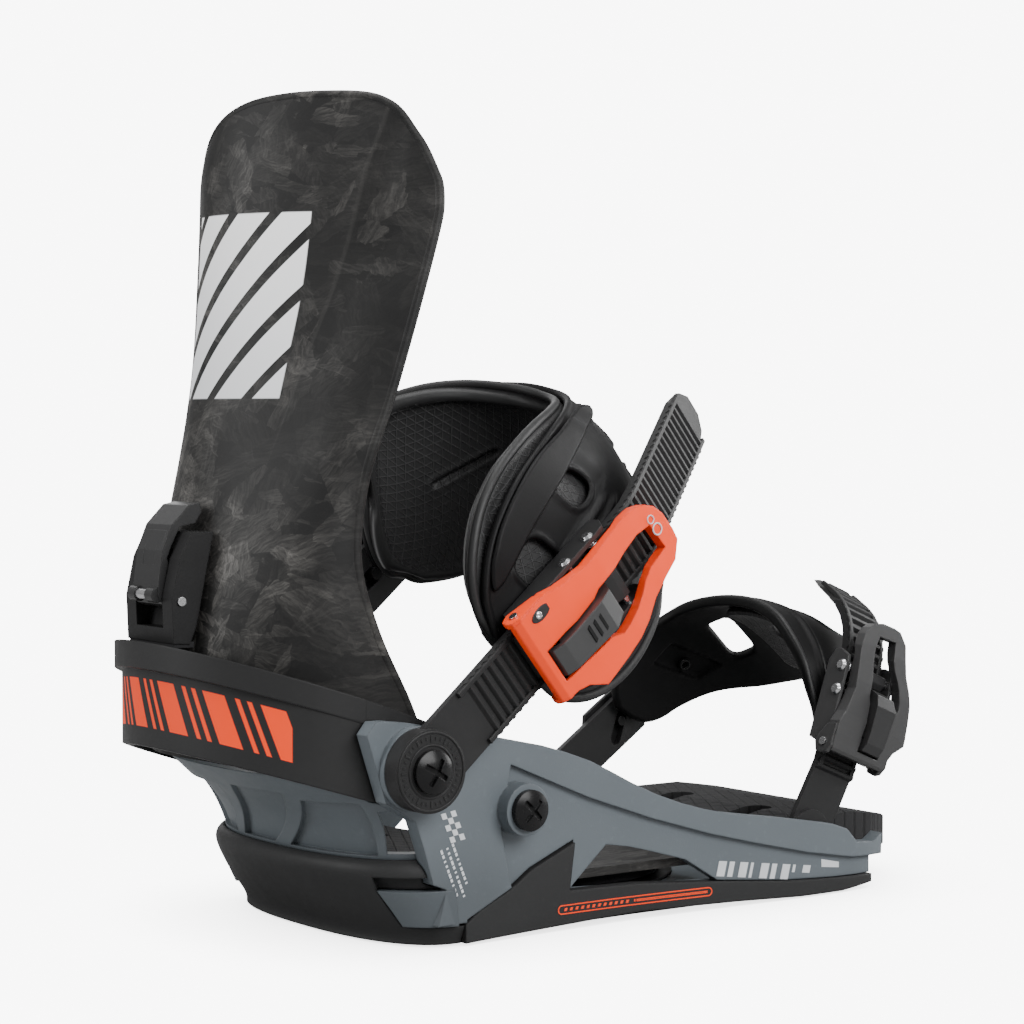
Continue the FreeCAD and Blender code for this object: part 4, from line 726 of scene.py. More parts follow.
def decal_ring(outline, node, side):
    """Outline divided finely and cast along Y onto a piece, or None if a ray misses."""
    ring = []
    for i, (x0, z0) in enumerate(outline):
        x1, z1 = outline[(i + 1) % len(outline)]
        steps = max(1, int(math.hypot(x1 - x0, z1 - z0) / DECAL_STEP))
        for t in range(steps):
            x, z = x0 + (x1 - x0) * t / steps, z0 + (z1 - z0) * t / steps
            hit = tree(node).ray_cast(Vector((x * MM, side * 0.2, z * MM)),
                                      Vector((0, -side, 0)))
            if hit[0] is None:
                return None
            ring.append(hit[0])
    return ring


def decal(name, outlines, node, material, side):
    """Thin printed shapes on a side wall, from outlines in (X, Z). side is the sign of Y."""
    vertices, faces = [], []
    lift = Vector((0, side * DECAL_HALF, 0))
    for outline in outlines:
        ring = decal_ring(outline, node, side)
        if not ring:
            continue
        n, base = len(ring), len(vertices)
        vertices += [p + lift for p in ring] + [p - lift for p in ring]
        faces += [tuple(base + i for i in range(n)),
                  tuple(base + n + i for i in reversed(range(n)))]
        faces += [(base + i, base + (i + 1) % n, base + n + (i + 1) % n, base + n + i)
                  for i in range(n)]
    if not vertices:
        return
    obj = add_mesh(name, vertices, faces, [material], "base", smooth=False)
    bm = bmesh.new()
    bm.from_mesh(obj.data)
    bmesh.ops.triangulate(bm, faces=[face for face in bm.faces if len(face.verts) > 4])
    bm.to_mesh(obj.data)
    bm.free()


# ------------------------------------------------------------------ strap tables
# Each row is a station from the outer (-Y) to the inner side. It holds the upper edge
# (v = 1), the middle and the lower edge (v = 0) as (along tilt, across tilt, Y) in mm.
ANKLE = [
    ((50, 17, -61.5), (50.5, 4, -62.3), (54, -8, -61.5)),
    ((57, 30, -61.2), (60, 2, -62.3), (60, -25, -61.2)),
    ((66, 39, -60.2), (70, 2, -61.8), (70, -34.5, -60.5)),
    ((77, 45.5, -58), (84, 2, -60.9), (84, -40, -58.5)),
    ((91, 48.8, -54), (101, 3, -58.6), (100, -41, -55.5)),
    ((106, 48.2, -48), (119, 4, -52.6), (117, -38, -50.5)),
    ((121, 45, -40), (136, 5, -42), (130, -33, -42)),
    ((136, 39.5, -29), (149, 7, -28), (139, -29, -29)),
    ((148, 34.5, -16), (157, 9, -13), (144, -27, -14)),
    ((153.5, 33.5, -2), (160, 10, 3), (145, -27, 2)),
    ((154, 37, 13), (157, 12, 19), (143, -27, 18)),
    ((147, 44, 29), (147, 14, 34), (136, -26, 33)),
    ((134, 51, 41), (131, 14, 45), (124, -24, 44)),
    ((121, 53, 49), (112, 12, 52.0), (110, -20, 51)),
    ((106, 45, 53.0), (96, 10, 54.8), (97, -12, 54.2)),
    ((94, 27, 54), (86, 8, 55.6), (88, -3, 54.8)),
]
TOE = [
    ((36, 6, -48.5), (35, -2, -50.7), (37, -11, -49.2)),
    ((44, 9, -47.3), (45, -3, -50.2), (47, -15, -48.6)),
    ((52, 14, -45), (56, -3, -49.0), (57, -22, -46.5)),
    ((61, 18, -41), (66, -4, -45), (65, -31, -41)),
    ((69, 20.3, -33.5), (75, -6, -37), (71, -38, -32)),
    ((77, 20.7, -22), (82, -8, -24), (74, -43, -18)),
    ((82, 19.5, -7), (85, -9, -6), (75, -46, -3)),
    ((83, 18, 10), (85.5, -10, 13), (74, -47, 15)),
    ((80.5, 18.5, 26), (81, -10, 30), (70.5, -46, 30)),
    ((76, 17.5, 39), (73, -8, 42), (65, -40, 41.5)),
    ((66, 20, 48.5), (60, -4, 50.5), (57, -26, 49.5)),
    ((50, 23, 53.5), (46, 2, 55), (46, -14, 53.8)),
    ((36, 22, 55.5), (33, 8, 56.2), (34, -4, 55.5)),
]
ankle = strap_surface(ANKLE_PIVOT, ANKLE_TILT, ANKLE)
toe = strap_surface(TOE_PIVOT, TOE_TILT, TOE)


def window(s0, s1, v0, v1, skew=0.0, power=4):
    """Rounded opening between stations s0 and s1, slanted by skew."""
    def inside(station, v):
        from_middle = v - (v0 + v1) / 2
        x = (station - (s0 + s1) / 2 - skew * from_middle) / ((s1 - s0) / 2)
        y = from_middle / ((v1 - v0) / 2)
        return (np.abs(x) ** power + np.abs(y) ** power) < 1
    return inside


def round_edge(edge, radius):
    """Quarter-circle height profile near a rim."""
    x = np.clip(edge, 0, radius)
    return np.sqrt(np.maximum(radius * radius - (radius - x) ** 2, 0))


# ------------------------------------------------------------------ ankle strap
PAD_MIDDLE, PAD_RADIUS = -6.3, 3.2
# ends of a slit in the inner face, as (along, across) arc lengths
SLIT = [np.array([ankle.at(station / ankle.stations, v, field)
                  for field in (ankle.along, ankle.across)])
        for station, v in ((12.55, 0.54), (11.1, 0.49))]


def slit_distance(p):
    start, run = SLIT[0], SLIT[1] - SLIT[0]
    x, y = p.along - start[0], p.across - start[1]
    t = np.clip((x * run[0] + y * run[1]) / (run @ run), 0, 1)
    return np.hypot(x - t * run[0], y - t * run[1])


def pad_top(p):
    return PAD_MIDDLE + round_edge(p.edge, PAD_RADIUS) - 0.9 * fade_in(p.edge, 4.6, 6.0)


def pad_bottom(p):
    """Recessed inner face, with the slit and a raised line round it."""
    slit = slit_distance(p)
    recess = 1.5 * fade_in(p.edge, 4.2, 6.2) + 1.9 * fade_out(slit, 0.5, 1.3)
    line = 0.5 * fade_out(np.abs(slit - 2.4), 0.2, 1.0) * fade_in(p.edge, 6, 8)
    return PAD_MIDDLE - round_edge(p.edge, PAD_RADIUS) + recess - line


pad = shell("ankle_pad", ankle, "ankle_strap", ["pad_rim", "pad"], pad_top, pad_bottom,
            cells=(230, 84), u_range=(0.004, 0.996), corner=9,
            second=lambda p: (p.edge > 4.4).astype(int))
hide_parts("ankle_strap_pad")

# rolled bead round the edge of the padding
NEAR, FAR = 0.015, 0.985
bead_path = ([(u, FAR) for u in np.linspace(0.03, 0.97, 90)]
             + [(FAR, v) for v in np.linspace(0.93, 0.07, 30)]
             + [(u, NEAR) for u in np.linspace(0.97, 0.03, 90)]
             + [(NEAR, v) for v in np.linspace(0.07, 0.93, 30)])
tube("ankle_pad_bead", [ankle.lifted(u, v, -3.3) for u, v in bead_path], 0.0017,
     "ankle_strap", "pad_rim", closed=True)

# outer frame: lipped edge, windows and lengthwise ribs
ANKLE_WINDOWS = [window(4.45, 5.25, 0.645, 0.785, -0.7), window(2.25, 3.35, 0.585, 0.765, -0.9),
                 window(7.3, 8.3, 0.50, 0.74, -0.5), window(7.5, 8.6, 0.16, 0.38, 0.5),
                 window(9.5, 10.8, 0.20, 0.44, 0.3), window(9.5, 10.8, 0.56, 0.80, -0.3),
                 window(5.8, 6.7, 0.14, 0.30, 0.8)]
# ribs: v, height, first and last station
ANKLE_RIBS = ((0.555, 1.9, 1.5, 5.6), (0.605, 1.9, 1.5, 5.4), (0.40, 0.8, 6.6, 12.2))
ANKLE_WIDTH = 80.0


def frame_top(p):
    height = 0.9 * fade_out(p.edge, 1.6, 2.6) - 0.9 * fade_out(p.edge, 0.0, 0.8) * 0.8
    for middle, rise, first, last in ANKLE_RIBS:
        off_line = (p.v - middle + 0.012 * (p.station - 3.5)) * ANKLE_WIDTH
        height = height + (rise * fade_out(np.abs(off_line), 0.7, 1.3)
                           * fade_in(p.station, first, first + 0.5)
                           * fade_out(p.station, last - 0.5, last))
    # shallow trough near the outer end
    trough = (1.1 * fade_out(np.abs(p.v - 0.70), 0.07, 0.10) * fade_in(p.station, 2.0, 2.4)
              * fade_out(p.station, 5.3, 5.8))
    return height - trough - 0.4


ankle_frame = shell("ankle_frame", ankle, "ankle_strap", ["frame"], frame_top,
                    lambda p: -2.5 + 0.7 * fade_out(p.edge, 0, 0.7), cells=(260, 96),
                    v_range=(0.075, 0.925), holes=ANKLE_WINDOWS, corner=9)
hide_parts("ankle_strap_frame")


# tongue plate over the frame on the outer side, with its raised end tab
def tongue_outline(station, v):
    middle = 0.848 - 0.010 * np.clip(station - 5.0, 0, 3)
    half = 0.050 + 0.012 * fade_in(station, 1.2, 2.6) * fade_out(station, 4.6, 6.2)
    ends = (np.clip((station - 1.15) / 0.5, 0, 1) ** 0.5
            * np.clip((6.95 - station) / 0.18, 0, 1) ** 0.5)
    return np.abs(v - middle) < half * ends


def tongue_face(level, edge_change):
    """Offset of one face: the tab lifts it at one end, the other end sinks."""
    return lambda p: (level + edge_change * fade_out(p.edge, 0, 0.8)
                      + 3.4 * fade_in(p.station, 6.35, 6.95)
                      - 1.0 * fade_out(p.station, 1.2, 2.2))


shell("ankle_tongue", ankle, "ankle_strap", ["frame"], tongue_face(2.5, -0.7),
      tongue_face(0.9, 0.3), cells=(130, 50),
      u_range=(1.1 / ankle.stations, 7.0 / ankle.stations), v_range=(0.74, 0.93),
      outline=tongue_outline)

# ------------------------------------------------------------------ toe strap
TOE_WINDOWS = [window(7.95, 8.75, 0.28, 0.66, -0.7, power=8), window(3.0, 3.55, 0.30, 0.52, 0.4),
               window(2.3, 2.8, 0.34, 0.56, 0.4), window(4.6, 6.9, 0.30, 0.62, power=3)]
TOE_WIDTH = 55.0


def cap_top(p):
    """Lipped edge and two lengthwise ribs."""
    height = 0.7 * fade_out(p.edge, 1.4, 2.4) - 1.1 * fade_out(p.edge, 0.0, 0.9)
    for middle in (0.80, 0.16):
        off_line = (p.v - middle) * TOE_WIDTH
        height = height + (0.8 * fade_out(np.abs(off_line), 0.8, 1.7)
                           * fade_in(p.station, 1.0, 2.2) * fade_out(p.station, 10.4, 11.4))
    return height - 0.4


def cap_bottom(p):
    """Inner face with a slanted slot across it."""
    station_mm, width_mm, depth = 13.0, 50, 1.69
    off_slot = np.abs(p.station - 9.85 - 0.9 * (p.v - 0.52)) * station_mm
    slot = fade_out(off_slot, 4.2, 5.0) * fade_out(np.abs(p.v - 0.52) * width_mm, 11.0, 12.0)
    return -3.9 + 0.9 * fade_out(p.edge, 0, 0.9) + depth * slot


cap = shell("toe_cap_shell", toe, "toe_strap", ["cap"], cap_top, cap_bottom,
            cells=(220, 80), holes=TOE_WINDOWS, corner=8)
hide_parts("toe_strap_cap")

for end, v in (("front", 0.045), ("rear", 0.955)):
    tube("toe_cap_bead_" + end, [toe.lifted(u, v, -0.6) for u in np.linspace(0.06, 0.94, 80)],
         0.00115, "toe_strap", "pad_rim")

# hexagonal ring in the slot of the inner face
NUT_U, NUT_V, NUT_RADIUS, NUT_DEPTH = 9.9 / toe.stations, 0.50, 2.3, 3.4
nut_centre = toe.at(NUT_U, NUT_V, toe.points)
nut_normal = toe.at(NUT_U, NUT_V, toe.normals)
nut_x = toe.at(NUT_U + 0.01, NUT_V, toe.points) - nut_centre
nut_x = nut_x / np.linalg.norm(nut_x)
nut_y = np.cross(nut_normal, nut_x)
hexagon = [(nut_centre - nut_normal * NUT_DEPTH
            + nut_x * NUT_RADIUS * math.cos(math.radians(60 * i))
            + nut_y * NUT_RADIUS * math.sin(math.radians(60 * i))) * MM for i in range(6)]
tube("toe_cap_nut", hexagon, 0.0008, "toe_strap", "screw", closed=True)

LINER_MIDDLE = -5.6
liner = shell("toe_liner", toe, "toe_strap", ["pad"],
              lambda p: LINER_MIDDLE + round_edge(p.edge, 1.3),
              lambda p: LINER_MIDDLE - round_edge(p.edge, 1.5), cells=(150, 60),
              u_range=(0.24, 0.62), v_range=(0.10, 0.88),
              holes=[window(4.8, 6.7, 0.34, 0.58, power=3)], corner=7)
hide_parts("toe_cap_liner")

# ------------------------------------------------------------------ highback rim and padding
# Level sections: z, then x and y of nine points from the outer to the inner side edge
HIGHBACK = [
    (55, (-84, -104, -126, -141, -148, -141, -126, -104, -84),
     (-52, -50.6, -42, -27, 0, 27, 42, 50.6, 52)),
    (76, (-92, -112, -130, -144, -150.2, -144, -130, -112, -92),
     (-52.4, -50.6, -42, -27, 0, 27, 42, 50.6, 52.4)),
    (100, (-105, -120, -134, -144.5, -149, -144.6, -134, -120, -105),
     (-53.0, -50, -40, -24, 0, 23, 38.5, 48.5, 52)),
    (124, (-112.5, -123, -134, -141.5, -144.0, -141, -132.8, -123, -112),
     (-52.5, -48, -37, -21, 0.5, 20.3, 35.5, 45.5, 49.5)),
    (150, (-109, -118, -126, -134, -138.4, -136.9, -130.4, -122.4, -113.4),
     (-51, -45, -34, -19, 0.5, 16.9, 29.8, 39.8, 44.8)),
    (178, (-98, -107.5, -117, -127, -133.1, -132.3, -127, -119.5, -109.5),
     (-50, -43, -32, -17, 0, 15.1, 26.4, 36.4, 41.9)),
    (215, (-85.5, -94, -104, -117, -124.9, -127.4, -124.5, -117.5, -106.5),
     (-49.5, -41.5, -31, -17, -1.5, 12.9, 24.9, 35.9, 41.9)),
    (243, (-76, -84, -96, -110, -119.1, -124.1, -122.5, -116.5, -106.5),
     (-47.5, -41, -33, -18, -3.6, 11.7, 24.9, 36.4, 42.9)),
    (262, (-72.5, -80, -90, -105, -114.7, -120.5, -120.1, -114.6, -106.1),
     (-46, -40.5, -34.5, -19, -5.4, 10.2, 23.7, 35.2, 41.7)),
    (280, (-67, -74, -84, -99, -109.2, -115.8, -116.4, -111.9, -103.9),
     (-44.5, -40, -34, -19.5, -6.5, 8, 20.9, 32.9, 39.4)),
]
SECTION_Z, SECTION_X, SECTION_Y = zip(*HIGHBACK)
SECTION_S = [i / 4 for i in range(-4, 5)]     # -1 at the outer edge, 1 at the inner edge
# height of the top edge at places across the highback
TOP_S = [-1, -0.95, -0.9, -0.84, -0.77, -0.7, -0.6, -0.5, -0.4, -0.25, 0, 0.2, 0.4, 0.55, 0.7,
         0.85, 1]
TOP_Z = [242, 246.5, 250, 254.5, 259, 262.5, 267, 271.2, 274.2, 275, 274.5, 272.5, 268, 262.2,
         254, 245.4, 238]


def highback_point(s, z):
    x, y = [hermite(z, SECTION_Z, [hermite(s, SECTION_S, row) for row in rows])
            for rows in (SECTION_X, SECTION_Y)]
    return np.array([x, y, z])


def highback_normal(s, z):
    """Unit normal on the +X side."""
    across = highback_point(min(s + 0.02, 1), z) - highback_point(max(s - 0.02, -1), z)
    up = highback_point(s, z + 1.0) - highback_point(s, z - 1.0)
    normal = np.cross(across, up)
    normal /= np.linalg.norm(normal)
    return normal if normal[0] > 0 else -normal


def padding_surface(half=0.8, rows=120, columns=90):
    points = np.zeros((rows + 1, columns + 1, 3))
    for i in range(rows + 1):
        s = -half + 2 * half * i / rows
        top = hermite(s, TOP_S, TOP_Z) - 16
        bottom = 152 + 10 * abs(s)
        for j in range(columns + 1):
            points[i, j] = highback_point(s, bottom + (top - bottom) * j / columns)
    return Surface(points, up=0)


def padding_top(p):
    """Rounded edge and V-shaped channels at a fixed pitch."""
    pitch = 22.0
    place = p.across + 0.35 * np.abs(p.along - p.along.mean())
    channel = np.abs(np.mod(place, pitch) - pitch / 2)
    return (4.4 + round_edge(p.edge, 3.6)
            - 1.1 * fade_out(channel, 0.5, 1.8) * fade_in(p.edge, 6, 8))


padding = shell("highback_padding", padding_surface(), "highback_body", ["foam"], padding_top,
                lambda p: 4.2, cells=(120, 130), corner=16)
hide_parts("highback_pad")

# rolled rim up the outer side, over the top and down the inner side
rim_path = [(-1.0, z) for z in np.linspace(66, 238, 40)]
for t in np.linspace(0.02, 0.98, 60):
    s = -1 + 2 * t
    rim_path.append((s, hermite(s, TOP_S, TOP_Z)))
rim_path += [(1.0, z) for z in np.linspace(238, 70, 40)]
rim_points = [(highback_point(s, z) + highback_normal(max(min(s, 0.995), -0.995), z) * 1.8) * MM
              for s, z in rim_path]
tube("highback_rim", rim_points, 0.00205, "highback_body", "carbon")

# ------------------------------------------------------------------ ladder edge rails
LADDER_THICK, TOOTH_HEIGHT = 2.2, 1.2


def ladder_point(s, z, bend_start, radius, degrees):
    """Place at length s and height z on a ladder: straight, bent, then straight again."""
    arc = radius * math.radians(degrees)
    cos_end, sin_end = math.cos(math.radians(degrees)), math.sin(math.radians(degrees))
    r = radius + z
    if s <= bend_start:
        return (s, z)
    if s <= bend_start + arc:
        angle = (s - bend_start) / radius
        return (bend_start + r * math.sin(angle), -radius + r * math.cos(angle))
    rest = s - bend_start - arc
    return (bend_start + r * sin_end + rest * cos_end, -radius + r * cos_end - rest * sin_end)


def ladder_rail(name, plane, lengths, low, high, bend, body):
    """Thin bar with chamfered top edges, between low and high across the ladder."""
    z0, z1 = LADDER_THICK - 0.3, LADDER_THICK + TOOTH_HEIGHT + 0.12
    profile = ((low, z0), (low, z1 - 0.25), (low + 0.3, z1), (high - 0.3, z1),
               (high, z1 - 0.25), (high, z0))
    vertices, faces = [], []
    for s in lengths:
        for across, z in profile:
            along, out = ladder_point(s, z, *bend)
            vertices.append(plane.point(along, across, out))
    n = len(profile)
    for i in range(len(lengths) - 1):
        for k in range(n):
            faces.append((i * n + k, i * n + (k + 1) % n, (i + 1) * n + (k + 1) % n,
                          (i + 1) * n + k))
    faces += [tuple(range(n)), tuple((len(lengths) - 1) * n + k for k in reversed(range(n)))]
    add_mesh(name, vertices, faces, ["strap"], body, smooth=False)


# strap, plane, (bend start, radius, degrees), straight end, body, half width, rail start
LADDERS = (("ankle", ANKLE_PLANE, (108.0, 50.0, 22.5), 66, "ankle_ladder_body", 11.0, 24.0),
           ("toe", TOE_PLANE, (66.0, 26.0, 62.0), 19, "base", 9.4, 25.0))
for strap, plane, bend, straight, body, half, start in LADDERS:
    rail_end = bend[0] + bend[1] * math.radians(bend[2]) + straight - 11
    lengths = [start + (rail_end - start) * i / 60 for i in range(61)]
    for side, suffix in ((-1, "a"), (1, "b")):
        low, high = sorted((side * (half - 2.1), side * (half - 0.25)))
        ladder_rail(strap + "_ladder_edge_" + suffix, plane, lengths, low, high, bend, body)


# ------------------------------------------------------------------ buckle details
def ring(name, plane, centre, r0, r1, z0, z1, body, material, slot, segments=36):
    """Flat ring with chamfered edges in a strap's plane."""
    profile = [(r0, z0), (r0, z1 - 0.15), (r0 + 0.15, z1), (r1 - 0.15, z1), (r1, z1 - 0.15),
               (r1, z0)]
    n = len(profile)
    vertices, faces = [], []
    for i in range(segments):
        angle = 2 * math.pi * i / segments
        for r, z in profile:
            vertices.append(plane.point(centre[0] + r * math.cos(angle),
                                        centre[1] + r * math.sin(angle), z))
        j = (i + 1) % segments
        for k in range(n):
            faces.append((i * n + k, i * n + (k + 1) % n, j * n + (k + 1) % n, j * n + k))
    add_mesh(name, vertices, faces, [material], body)


def rivet(name, plane, centre, radius, z0, height, body, material, segments=28):
    """Shallow dome with a cut slot."""
    profile = [(radius, z0 - 0.3)]
    for k in range(7):
        t = k / 6
        profile.append((radius * math.cos(t * math.pi / 2 * 0.93),
                        z0 + height * math.sin(t * math.pi / 2)))
    n = len(profile)
    vertices, faces = [], []
    for i in range(segments):
        angle = 2 * math.pi * i / segments
        for r, z in profile:
            x, y = r * math.cos(angle), r * math.sin(angle)
            if abs(x * 0.5 + y * 0.866) < 0.22 * radius and r < 0.85 * radius:
                z -= 0.3 * height
            vertices.append(plane.point(centre[0] + x, centre[1] + y, z))
        j = (i + 1) % segments
        for k in range(n - 1):
            faces.append((i * n + k, i * n + k + 1, j * n + k + 1, j * n + k))
    faces.append(tuple(i * n + n - 1 for i in range(segments)))
    faces.append(tuple(i * n for i in reversed(range(segments))))
    add_mesh(name, vertices, faces, [material], body)


# three near-black marks on the release lever stand for engraved grooves: painted shade
MARK_LENGTH, MARK_HALF, MARK_PITCH, MARK_Y = 1.2, 3.2, 3.0, -4.8
for i in range(3):
    x0 = 70.0 + i * MARK_PITCH
    x1 = x0 + MARK_LENGTH
    low, high = MARK_Y - MARK_HALF, MARK_Y + MARK_HALF
    prism("ankle_release_mark_%d" % i, ANKLE_PLANE,
          [(x0, low), (x1, low + 0.6), (x1, high), (x0, high - 0.6)], 15.7, 16.35,
          "ankle_release", "groove_painted_shade")

ring("ankle_lever_ring", ANKLE_PLANE, (118.4, -0.5), 1.7, 2.2, 10.1, 10.55, "ankle_lever",
     "white", slot="orange_alloy")
ring("ankle_lever_ring_b", ANKLE_PLANE, (118.0, 3.9), 1.2, 1.6, 10.2, 10.65, "ankle_lever",
     "white", slot="orange_alloy")
# black oval plug and rivet near the lever's pivot
plug_angles = [2 * math.pi * i / 28 for i in range(28)]
prism("ankle_lever_plug", ANKLE_PLANE,
      [(60.5 + 4.6 * math.cos(a), 13.0 + 2.2 * math.sin(a)) for a in plug_angles],
      12.0, 13.05, "ankle_lever", "blackgloss", bevel=0.25)
rivet("ankle_lever_rivet", ANKLE_PLANE, (59.2, 13.1), 1.35, 13.0, 0.55, "ankle_lever",
      "steel")


# rings and tick marks round the strap pivots
def pivot_ticks(name, plane, body):
    vertices, faces = [], []
    for i in range(36):
        angle = 2 * math.pi * i / 36
        r0, r1 = (9.3, 11.4) if i % 3 == 0 else (9.9, 11.0)
        base = len(vertices)
        for r, turn in ((r0, -0.035), (r1, -0.03), (r1, 0.03), (r0, 0.035)):
            for z in (-0.2, 0.22):
                vertices.append(plane.point(r * math.cos(angle + turn),
                                            r * math.sin(angle + turn), z))
        low = [base + 2 * k for k in range(4)]
        high = [base + 2 * k + 1 for k in range(4)]
        faces += [tuple(low), tuple(reversed(high))]
        faces += [(low[k], low[(k + 1) % 4], high[(k + 1) % 4], high[k]) for k in range(4)]
    add_mesh(name, vertices, faces, ["strap"], body, smooth=False)


for side, where, body in ((1, "near", "ankle_ladder_body"), (-1, "far", "ankle_connector_body")):
    plane = StrapPlane((ANKLE_PIVOT[0], -73.1, ANKLE_PIVOT[1]), 0.0, 0.0, side)
    for suffix, r0, r1 in (("outer", 12.0, 12.8), ("inner", 8.0, 8.7)):
        ring("pivot_ring_%s_%s" % (where, suffix), plane, (0, 0), r0, r1, -0.3, 0.35, body,
             "strap", slot="black_plastic")
    pivot_ticks("pivot_ticks_" + where, plane, body)


# ------------------------------------------------------------------ lean block details
def slab(name, outline, half, body, material, bevel):
    """Polygon in (X, Z) spanning half to either side of Y = 0."""
    n = len(outline)
    vertices = [Vector((x, y, z)) * MM for y in (-half, half) for x, z in outline]
    faces = [tuple(range(n)), tuple(range(n, 2 * n))[::-1]]
    faces += [(i, i + n, (i + 1) % n + n, (i + 1) % n) for i in range(n)]
    soften(add_mesh(name, vertices, faces, [material], body, smooth=False), bevel)


slab("lean_lever_plate", [(-157.6, 121.6), (-157.9, 121.6), (-157.2, 127.4), (-154.6, 134.0),
                          (-153.9, 133.4), (-156.2, 127.2)],
     6.9, "lean_lever_body", "blackgloss", bevel=0.2)
# rods along Y: name, x, y range, radius in metres, material
for name, x, y0, y1, radius, material in (
        ("lean_knuckle_a", -158.7, -7.9, -3.3, 0.0025, "blackgloss"),
        ("lean_knuckle_b", -158.7, 3.3, 7.9, 0.0025, "blackgloss"),
        ("lean_knuckle_pin", -159.0, -3.2, 3.2, 0.0018, "steel")):
    rod = [Vector((x, y0 + (y1 - y0) * k / 4, 113.4)) * MM for k in range(5)]
    tube(name, rod, radius, "lean_lever_body", material)

# foot that stands just above the heelcup; built only if the cup's top is close below
FOOT_REAR, FOOT_FRONT, FOOT_TOP = -156.6, -149.4, 98.6
foot = []
for x in (FOOT_REAR, FOOT_FRONT):
    hit = tree("heelcup").ray_cast(Vector((x * MM, 0.0, 0.0976)), Vector((0, 0, -1)))
    foot.append((x, (hit[0].z / MM + 0.15) if hit[0] is not None else 96.6))
if min(z for x, z in foot) > 93 and max(z for x, z in foot) < 97.4:
    slab("lean_block_foot", foot + [(FOOT_FRONT, FOOT_TOP), (FOOT_REAR, FOOT_TOP)], 14.6,
         "highback_body", "foam", bevel=0.15)

# ------------------------------------------------------------------ prints on the side rails
def box(x0, x1, z0, z1):
    return [(x0, z0), (x1, z0), (x1, z1), (x0, z1)]


def turned_box(x, z, length, width, degrees):
    cos, sin = math.cos(math.radians(degrees)), math.sin(math.radians(degrees))
    corners = box(-length / 2, length / 2, -width / 2, width / 2)
    return [(x + a * cos - b * sin, z + a * sin + b * cos) for a, b in corners]


def chequers():
    """Every other cell of a leaning 3 by 5 grid."""
    cells = []
    for i in range(3):
        for j in range(5):
            if (i + j) % 2 == 0:
                x, z = -85.6 + i * 2.0 + j * 0.86, 42.6 + i * 0.25 - j * 1.95
                cells.append([(x + a * 0.98 + b * 0.42, z + a * 0.12 - b * 0.95)
                              for a, b in ((-1, 1), (1, 1), (1, -1), (-1, -1))])
    return cells


def dash_rows():
    """Three slanting rows of short dashes."""
    dashes = []
    for row, count in enumerate((9, 11, 10)):
        for i in range(count):
            length = (1.1, 0.6, 1.5, 0.8, 1.1)[(i * 2 + row) % 5]
            run = i * 1.72
            dashes.append(turned_box(-81.9 - row * 2.35 + run * 0.40,
                                     33.0 - row * 0.9 - run * 0.93, length, 0.9, -67))
    return dashes


def toe_bars():
    """Leaning bars that step down towards the toe, then one tapered block."""
    half, lean, fall = 2.6, 1.3, 0.13
    bars = []
    for i in range(9):
        x, z = 31.5 + i * 4.7, 13.3 - i * 0.62
        width = (3.4, 2.2, 3.4, 1.2)[i % 4]
        bars.append([(x, z - half), (x + width, z - half - fall * width),
                     (x + width + lean, z + half - fall * width), (x + lean, z + half)])
    return bars + [[(78.9, 9.4), (87.4, 8.4), (87.4, 10.4), (78.9, 12.2)]]


def bumper_strip():
    """Outlined strip with round ends, an inner box at the front and dashes at the rear."""
    x0, x1, z0, z1, line = -36, 27, 4.9, 8.1, 0.42
    parts = [box(x0, x1, z1 - line, z1), box(x0, x1, z0, z0 + line)]
    radius = (z1 - z0) / 2
    for x, first in ((x1, -90), (x0, 90)):
        for i in range(8):
            a, b = math.radians(first + 180 * i / 8), math.radians(first + 180 * (i + 1) / 8)
            parts.append([(x + r * math.cos(angle), z0 + radius + r * math.sin(angle))
                          for r, angle in ((radius, a), (radius, b),
                                           (radius - line, b), (radius - line, a))])
    inset, thin = 1.2, line * 0.8
    parts += [box(-4, 26.5, z0 + inset, z0 + inset + thin),
              box(-4, 26.5, z1 - inset - thin, z1 - inset),
              box(-5, -4.4, z0 + inset, z1 - inset)]
    for i in range(12):
        x = -35 + i * 2.4
        parts.append([(x, z0 + 1.1), (x + 1.1, z0 + 1.1), (x + 1.5, z1 - 1.1),
                      (x + 0.4, z1 - 1.1)])
    return [[(x, z - 0.008 * (x + 37)) for x, z in part] for part in parts]


for side, where in ((-1, "outer"), (1, "inner")):
    for name, outlines in (("check", chequers()), ("rows", dash_rows()), ("bars", toe_bars())):
        decal("rail_%s_%s" % (name, where), outlines, "baseplate", "white", side)
    decal("bumper_strip_" + where, bumper_strip(), "side_bumper_" + where, "orange_print",
          side)

# ------------------------------------------------------------------ stage, light, camera
BACKDROP = 8.5      # brightness of floor and world as the camera sees them
WHITE = (1, 1, 1, 1)


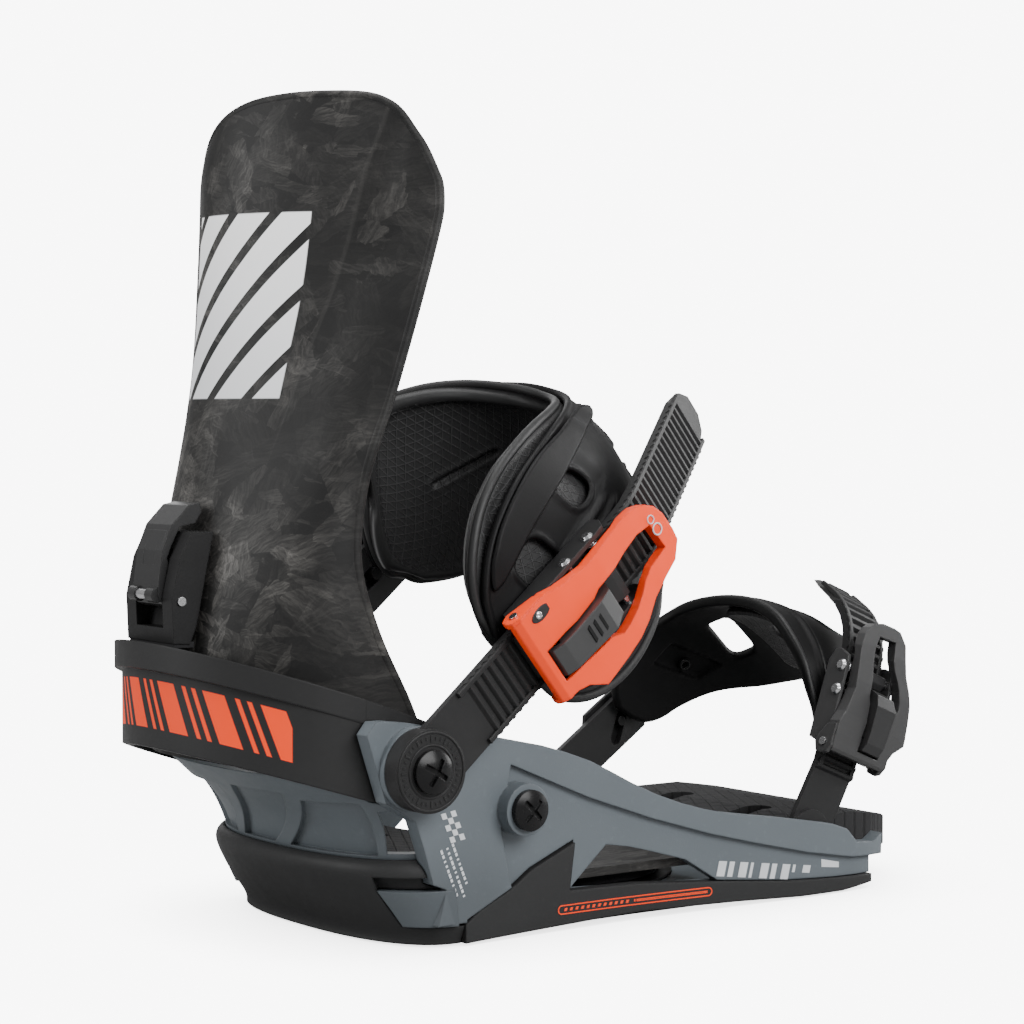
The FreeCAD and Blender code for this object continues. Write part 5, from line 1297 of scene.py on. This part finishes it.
def stage_material(name):
    """Bright to the camera, with a painted contact shadow where ambient occlusion dims the glow,
    plain grey to all other rays.
    """
    material = bpy.data.materials.new(name)
    material.use_nodes = True
    nodes, links = material.node_tree.nodes, material.node_tree.links
    nodes.clear()
    output = nodes.new("ShaderNodeOutputMaterial")
    mix = nodes.new("ShaderNodeMixShader")
    path = nodes.new("ShaderNodeLightPath")
    diffuse = nodes.new("ShaderNodeBsdfDiffuse")
    diffuse.inputs["Color"].default_value = (0.34, 0.34, 0.34, 1)
    glow = nodes.new("ShaderNodeEmission")
    glow.inputs["Color"].default_value = WHITE
    # painted contact shadow: ambient occlusion lowers the floor's glow near the product
    contact = nodes.new("ShaderNodeAmbientOcclusion")
    contact.samples = 8
    contact.inputs["Distance"].default_value = 0.05
    strength = nodes.new("ShaderNodeMapRange")
    # inputs 1 to 4: from min, from max, to min, to max
    for i, value in enumerate((0.0, 1.0, BACKDROP * 0.30, BACKDROP), start=1):
        strength.inputs[i].default_value = value
    links.new(contact.outputs["AO"], strength.inputs[0])
    links.new(strength.outputs[0], glow.inputs["Strength"])
    links.new(path.outputs["Is Camera Ray"], mix.inputs[0])
    links.new(diffuse.outputs[0], mix.inputs[1])
    links.new(glow.outputs[0], mix.inputs[2])
    links.new(mix.outputs[0], output.inputs[0])
    return material


bm = bmesh.new()
bmesh.ops.create_grid(bm, x_segments=2, y_segments=2, size=30)
floor_mesh = bpy.data.meshes.new("floor")
bm.to_mesh(floor_mesh)
bm.free()
floor = bpy.data.objects.new("floor", floor_mesh)
floor.location = (0, 0, -0.0006)
floor_mesh.materials.append(stage_material("floor_pale"))
bpy.context.scene.collection.objects.link(floor)

# world: dim light on the product, bright behind it
world = bpy.data.worlds.new("studio")
bpy.context.scene.world = world
world.use_nodes = True
nodes, links = world.node_tree.nodes, world.node_tree.links
nodes.clear()
world_output = nodes.new("ShaderNodeOutputWorld")
world_mix = nodes.new("ShaderNodeMixShader")
path = nodes.new("ShaderNodeLightPath")
links.new(path.outputs["Is Camera Ray"], world_mix.inputs[0])
for i, strength in enumerate((0.40, BACKDROP), start=1):
    background = nodes.new("ShaderNodeBackground")
    background.inputs[0].default_value = WHITE
    background.inputs[1].default_value = strength
    links.new(background.outputs[0], world_mix.inputs[i])
links.new(world_mix.outputs[0], world_output.inputs[0])


def place(name, data, location, direction):
    """Staged object whose -Z axis looks along direction."""
    obj = bpy.data.objects.new(name, data)
    obj.location = location
    obj.rotation_mode = "QUATERNION"
    obj.rotation_quaternion = direction.to_track_quat("-Z", "Y")
    bpy.context.scene.collection.objects.link(obj)
    return obj


LIGHT_TARGET = (-0.02, 0, 0.12)
# area lights: name, location, size in metres, power in watts
LIGHTS = (("key", (0.10, -1.25, 0.85), (1.1, 0.8), 27),
          ("top", (0.0, 0.1, 1.5), (1.0, 1.0), 15),
          ("rim_right", (1.3, -0.2, 0.6), (0.5, 1.0), 11),
          ("rim_left", (-1.3, 0.35, 0.7), (0.5, 1.0), 15),
          ("fill_far", (0.45, 1.25, 0.60), (1.0, 0.7), 3.5))
for name, location, size, power in LIGHTS:
    light = bpy.data.lights.new(name, "AREA")
    light.shape = "RECTANGLE"
    light.size, light.size_y = size
    light.energy = power
    place(name, light, location, Vector(LIGHT_TARGET) - Vector(location))

# the camera looks from the outer heel side, turned from +Y towards +X and slightly down
TURN, DIP = math.radians(37), math.radians(2)
camera = bpy.data.cameras.new("camera")
camera.lens, camera.sensor_width = 90, 36
camera.clip_start, camera.clip_end = 0.01, 100
bpy.context.scene.camera = place(
    "camera", camera, (-0.557514, -0.724184, 0.168213),
    Vector((math.sin(TURN) * math.cos(DIP), math.cos(TURN) * math.cos(DIP), -math.sin(DIP))))
